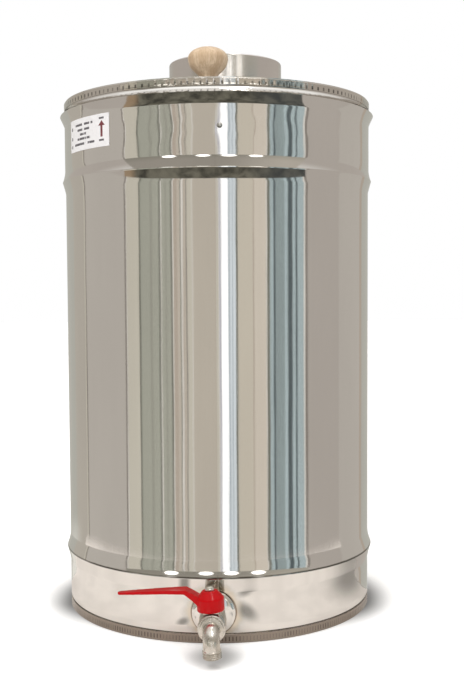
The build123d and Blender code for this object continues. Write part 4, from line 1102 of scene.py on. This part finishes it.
def make_world():
    w = WorldShader("studio")
    where = w.add("ShaderNodeTexCoord").outputs["Generated"]
    x, y, z = w.axes(where)
    azimuth = w.math("ARCTAN2", x, w.times(y, -1.0))
    share = w.times(azimuth, 1 / math.pi)
    left = w.screens(w.math("ADD", share, 1.0, clamp=True), LEFT_SCREENS)
    right = w.screens(w.math("MAXIMUM", share, 0.0), RIGHT_SCREENS)
    around = w.mix(w.math("GREATER_THAN", share, 0.0), left, right)
    degrees = w.times(azimuth, 180 / math.pi)
    around = w.mix(1.0, around, w.grey(w.stripes(degrees, 1.7, 0.93, 1.07)), "MULTIPLY")
    right_busy = w.times(near(w, degrees, 54.0, 22.0), 1.25, clamp=True)
    left_busy = w.times(near(w, degrees, -38.0, 28.0), 0.62)
    busy = w.math("MAXIMUM", right_busy, left_busy)
    striped = w.mix(1.0, around, w.grey(w.stripes(degrees, 2.4, 0.38, 1.85)), "MULTIPLY")
    around = w.mix(busy, around, striped)

    # the room's open front, between the two side walls, has a ceiling with lamps, and a dark floor
    opening = w.times(w.span(degrees, -70.2, -69.2), w.span(degrees, 70.4, 71.4, 1.0, 0.0))
    bright_side = w.span(degrees, 0.0, 60.0, 1.0, 1.45)
    ceiling = w.mix(w.span(z, 0.26, 0.50), (0.30, 0.28, 0.235), (0.36, 0.33, 0.285))
    ceiling = w.mix(1.0, ceiling, w.grey(bright_side), "MULTIPLY")
    above = w.span(z, 0.745, 0.775)
    ceiling = w.mix(above, ceiling, (1.30, 1.28, 1.25))
    height = w.times(w.math("SUBTRACT", z, 0.30), 17.0)
    lamps = 0.0
    for place in LAMPS:
        across = w.times(w.math("SUBTRACT", degrees, place), 0.19)
        apart = w.math("ADD", w.math("POWER", across, 2.0), w.math("POWER", height, 2.0))
        lamps = w.math("MAXIMUM", lamps, w.span(apart, 0.7, 1.25, 1.0, 0.0))
    ceiling = w.mix(lamps, ceiling, (3.0, 2.95, 2.8))
    overhead = w.times(near(w, degrees, 37.5, 10.0), w.span(z, 0.86, 0.90))
    ceiling = w.mix(overhead, ceiling, (22.0, 22.0, 21.5))

    patch = {"X": w.times(degrees, 0.09), "Y": w.times(z, 7.0)}
    litter = w.noise(w.add("ShaderNodeCombineXYZ", patch).outputs["Vector"], 1.0, 4.0, 0.65, 0.4)
    pit = w.mix(w.span(litter, 0.32, 0.68), (0.055, 0.052, 0.042), (0.20, 0.187, 0.145))
    pit = w.mix(w.span(degrees, 20.0, 50.0, 0.0, 0.5), pit, (0.07, 0.08, 0.085))
    pit = w.mix(w.span(degrees, -66.0, -58.0, 0.8, 0.0), pit, (0.42, 0.30, 0.19))
    side_wall = w.mix(w.span(z, 0.42, 0.74), TONES["warm"], (0.88, 0.85, 0.81))
    light = w.mix(w.span(z, 0.235, 0.25, 0.0, 1.0), around, w.mix(opening, side_wall, ceiling))
    light = w.mix(w.span(z, -0.31, -0.295, 1.0, 0.0), light, w.mix(opening, TONES["warm"], pit))
    low_left = w.times(near(w, degrees, -143.0, 22.0), w.span(z, -0.255, -0.205, 1.0, 0.0))
    light = w.mix(w.times(low_left, 1.6, clamp=True), light, (0.84, 0.82, 0.75))
    light = w.mix(w.times(above, w.math("SUBTRACT", 1.0, opening)), light, (1.05, 1.03, 1.0))
    seen = w.add("ShaderNodeLightPath").outputs["Is Camera Ray"]
    w.put(w.surface.inputs["Color"], w.mix(seen, light, (1.0, 1.0, 1.0)))
    w.surface.inputs["Strength"].default_value = 1.0
    bpy.context.scene.world = w.world


def disc(name, radius, height, material):
    mesh = bmesh.new()
    bmesh.ops.create_circle(mesh, cap_ends=True, segments=96, radius=radius)
    made = loose(mesh, name=name)
    made.data.materials.append(material)
    made.location.z = height
    return made


def oval(s, x, y, centre, radii):
    """1 in the middle of an oval on the floor, falling smoothly to 0 at its edge."""
    across = s.math("DIVIDE", s.math("SUBTRACT", x, centre[0]), radii[0])
    along = s.math("DIVIDE", s.math("SUBTRACT", y, centre[1]), radii[1])
    return s.span(s.length(across, along), 0.2, 1.0, 1.0, 0.0)


def make_floor():
    s = Shader("pale_floor")
    grain = s.noise(s.place(), 220.0, 3.0, 0.6)
    x, y, _ = s.axes(s.place())
    # painted shadows: the floor's colour and glow are darkened in a ring round the drum's foot, strongest at
    # its sides and back, and in an oval just behind the spout
    shade = s.times(s.span(s.length(x, y), 0.190, 0.248, 0.86, 0.0), s.span(y, -0.17, -0.04, 0.10, 1.0))
    spout_shadow = oval(s, x, y, (SPOUT_FOOT.x, SPOUT_FOOT.y + 0.035), (0.052, 0.056))
    shade = s.math("MAXIMUM", shade, s.times(spout_shadow, 0.55))
    white = s.mix(grain, (0.93, 0.935, 0.945), (0.91, 0.915, 0.925))
    s.set(Base_Color=s.mix(shade, white, (0.0, 0.0, 0.0)), Roughness=0.6)
    s.set(Emission_Color=s.mix(shade, (1.0, 1.0, 1.0), (0.0, 0.0, 0.0)), Emission_Strength=0.32)
    s.set(Normal=s.bump(grain, 0.05, 0.0003))
    disc("studio_floor", 14.0, -0.0004, s.material).visible_glossy = False

    # a pale sheet round the foot, seen only in the polished steel
    m = Shader("pale_sheet")
    x, y, _ = m.axes(m.place())
    cloud = m.noise(m.place(), 9.0, 3.0, 0.5)
    tint = m.mix(m.span(cloud, 0.35, 0.65), (0.92, 0.865, 0.82), (0.80, 0.75, 0.71))
    # painted shadows: three dark ovals on the sheet, a large one to the drum's right and two small ones by
    # the spout, show in the steel as reflected shade
    for centre, radii in (((0.36, -0.02), (0.18, 0.17)), ((0.086, -0.306), (0.032, 0.058)),
                          ((-0.068, -0.268), (0.018, 0.026))):
        tint = m.mix(oval(m, x, y, centre, radii), tint, (0.30, 0.285, 0.265))
    edge = m.math("MULTIPLY_ADD", x, 0.09, y)
    edge = m.math("MULTIPLY_ADD", m.noise(m.place(), 14.0, 3.0, 0.55), 0.04, edge)
    rear = m.span(edge, 0.060, 0.070, 1.0, 0.0)
    alpha = m.times(m.span(m.length(x, y), 0.52, 0.62, 1.0, 0.0), rear)
    m.set(Base_Color=tint, Roughness=0.7, Alpha=alpha)
    sheet = disc("studio_sheet", 0.62, -0.0002, m.material)
    for kind in ("camera", "diffuse", "transmission", "shadow", "volume_scatter"):
        setattr(sheet, "visible_" + kind, False)


def make_lights():
    data = bpy.data.lights.new("key", "AREA")
    data.shape = "RECTANGLE"
    data.size, data.size_y = 1.6, 1.6
    data.energy = 40.0
    key = in_scene("key", data)
    place = Vector((-0.9, -1.9, 2.6))
    aim = (place - Vector((0, 0, 0.3))).to_track_quat("Z", "Y").to_matrix().to_4x4()
    key.matrix_world = Matrix.Translation(place) @ aim
    key.visible_glossy = False


def make_camera():
    data = bpy.data.cameras.new("camera")
    data.sensor_width = 36.0
    data.lens = 53.08
    made = in_scene("camera", data)
    heading, pitch, roll = (math.radians(value) for value in (1.78, -3.13, -0.32))
    turn = Matrix.Rotation(heading, 4, "Z") @ Matrix.Rotation(math.pi / 2 + pitch, 4, "X")
    turn = turn @ Matrix.Rotation(roll, 4, "Z")
    made.matrix_world = Matrix.Translation((0.0617, -1.3904, 0.4103)) @ turn
    bpy.context.scene.camera = made


make_pieces()
make_world()
make_floor()
make_lights()
make_camera()
bpy.context.scene.view_settings.view_transform = "Standard"
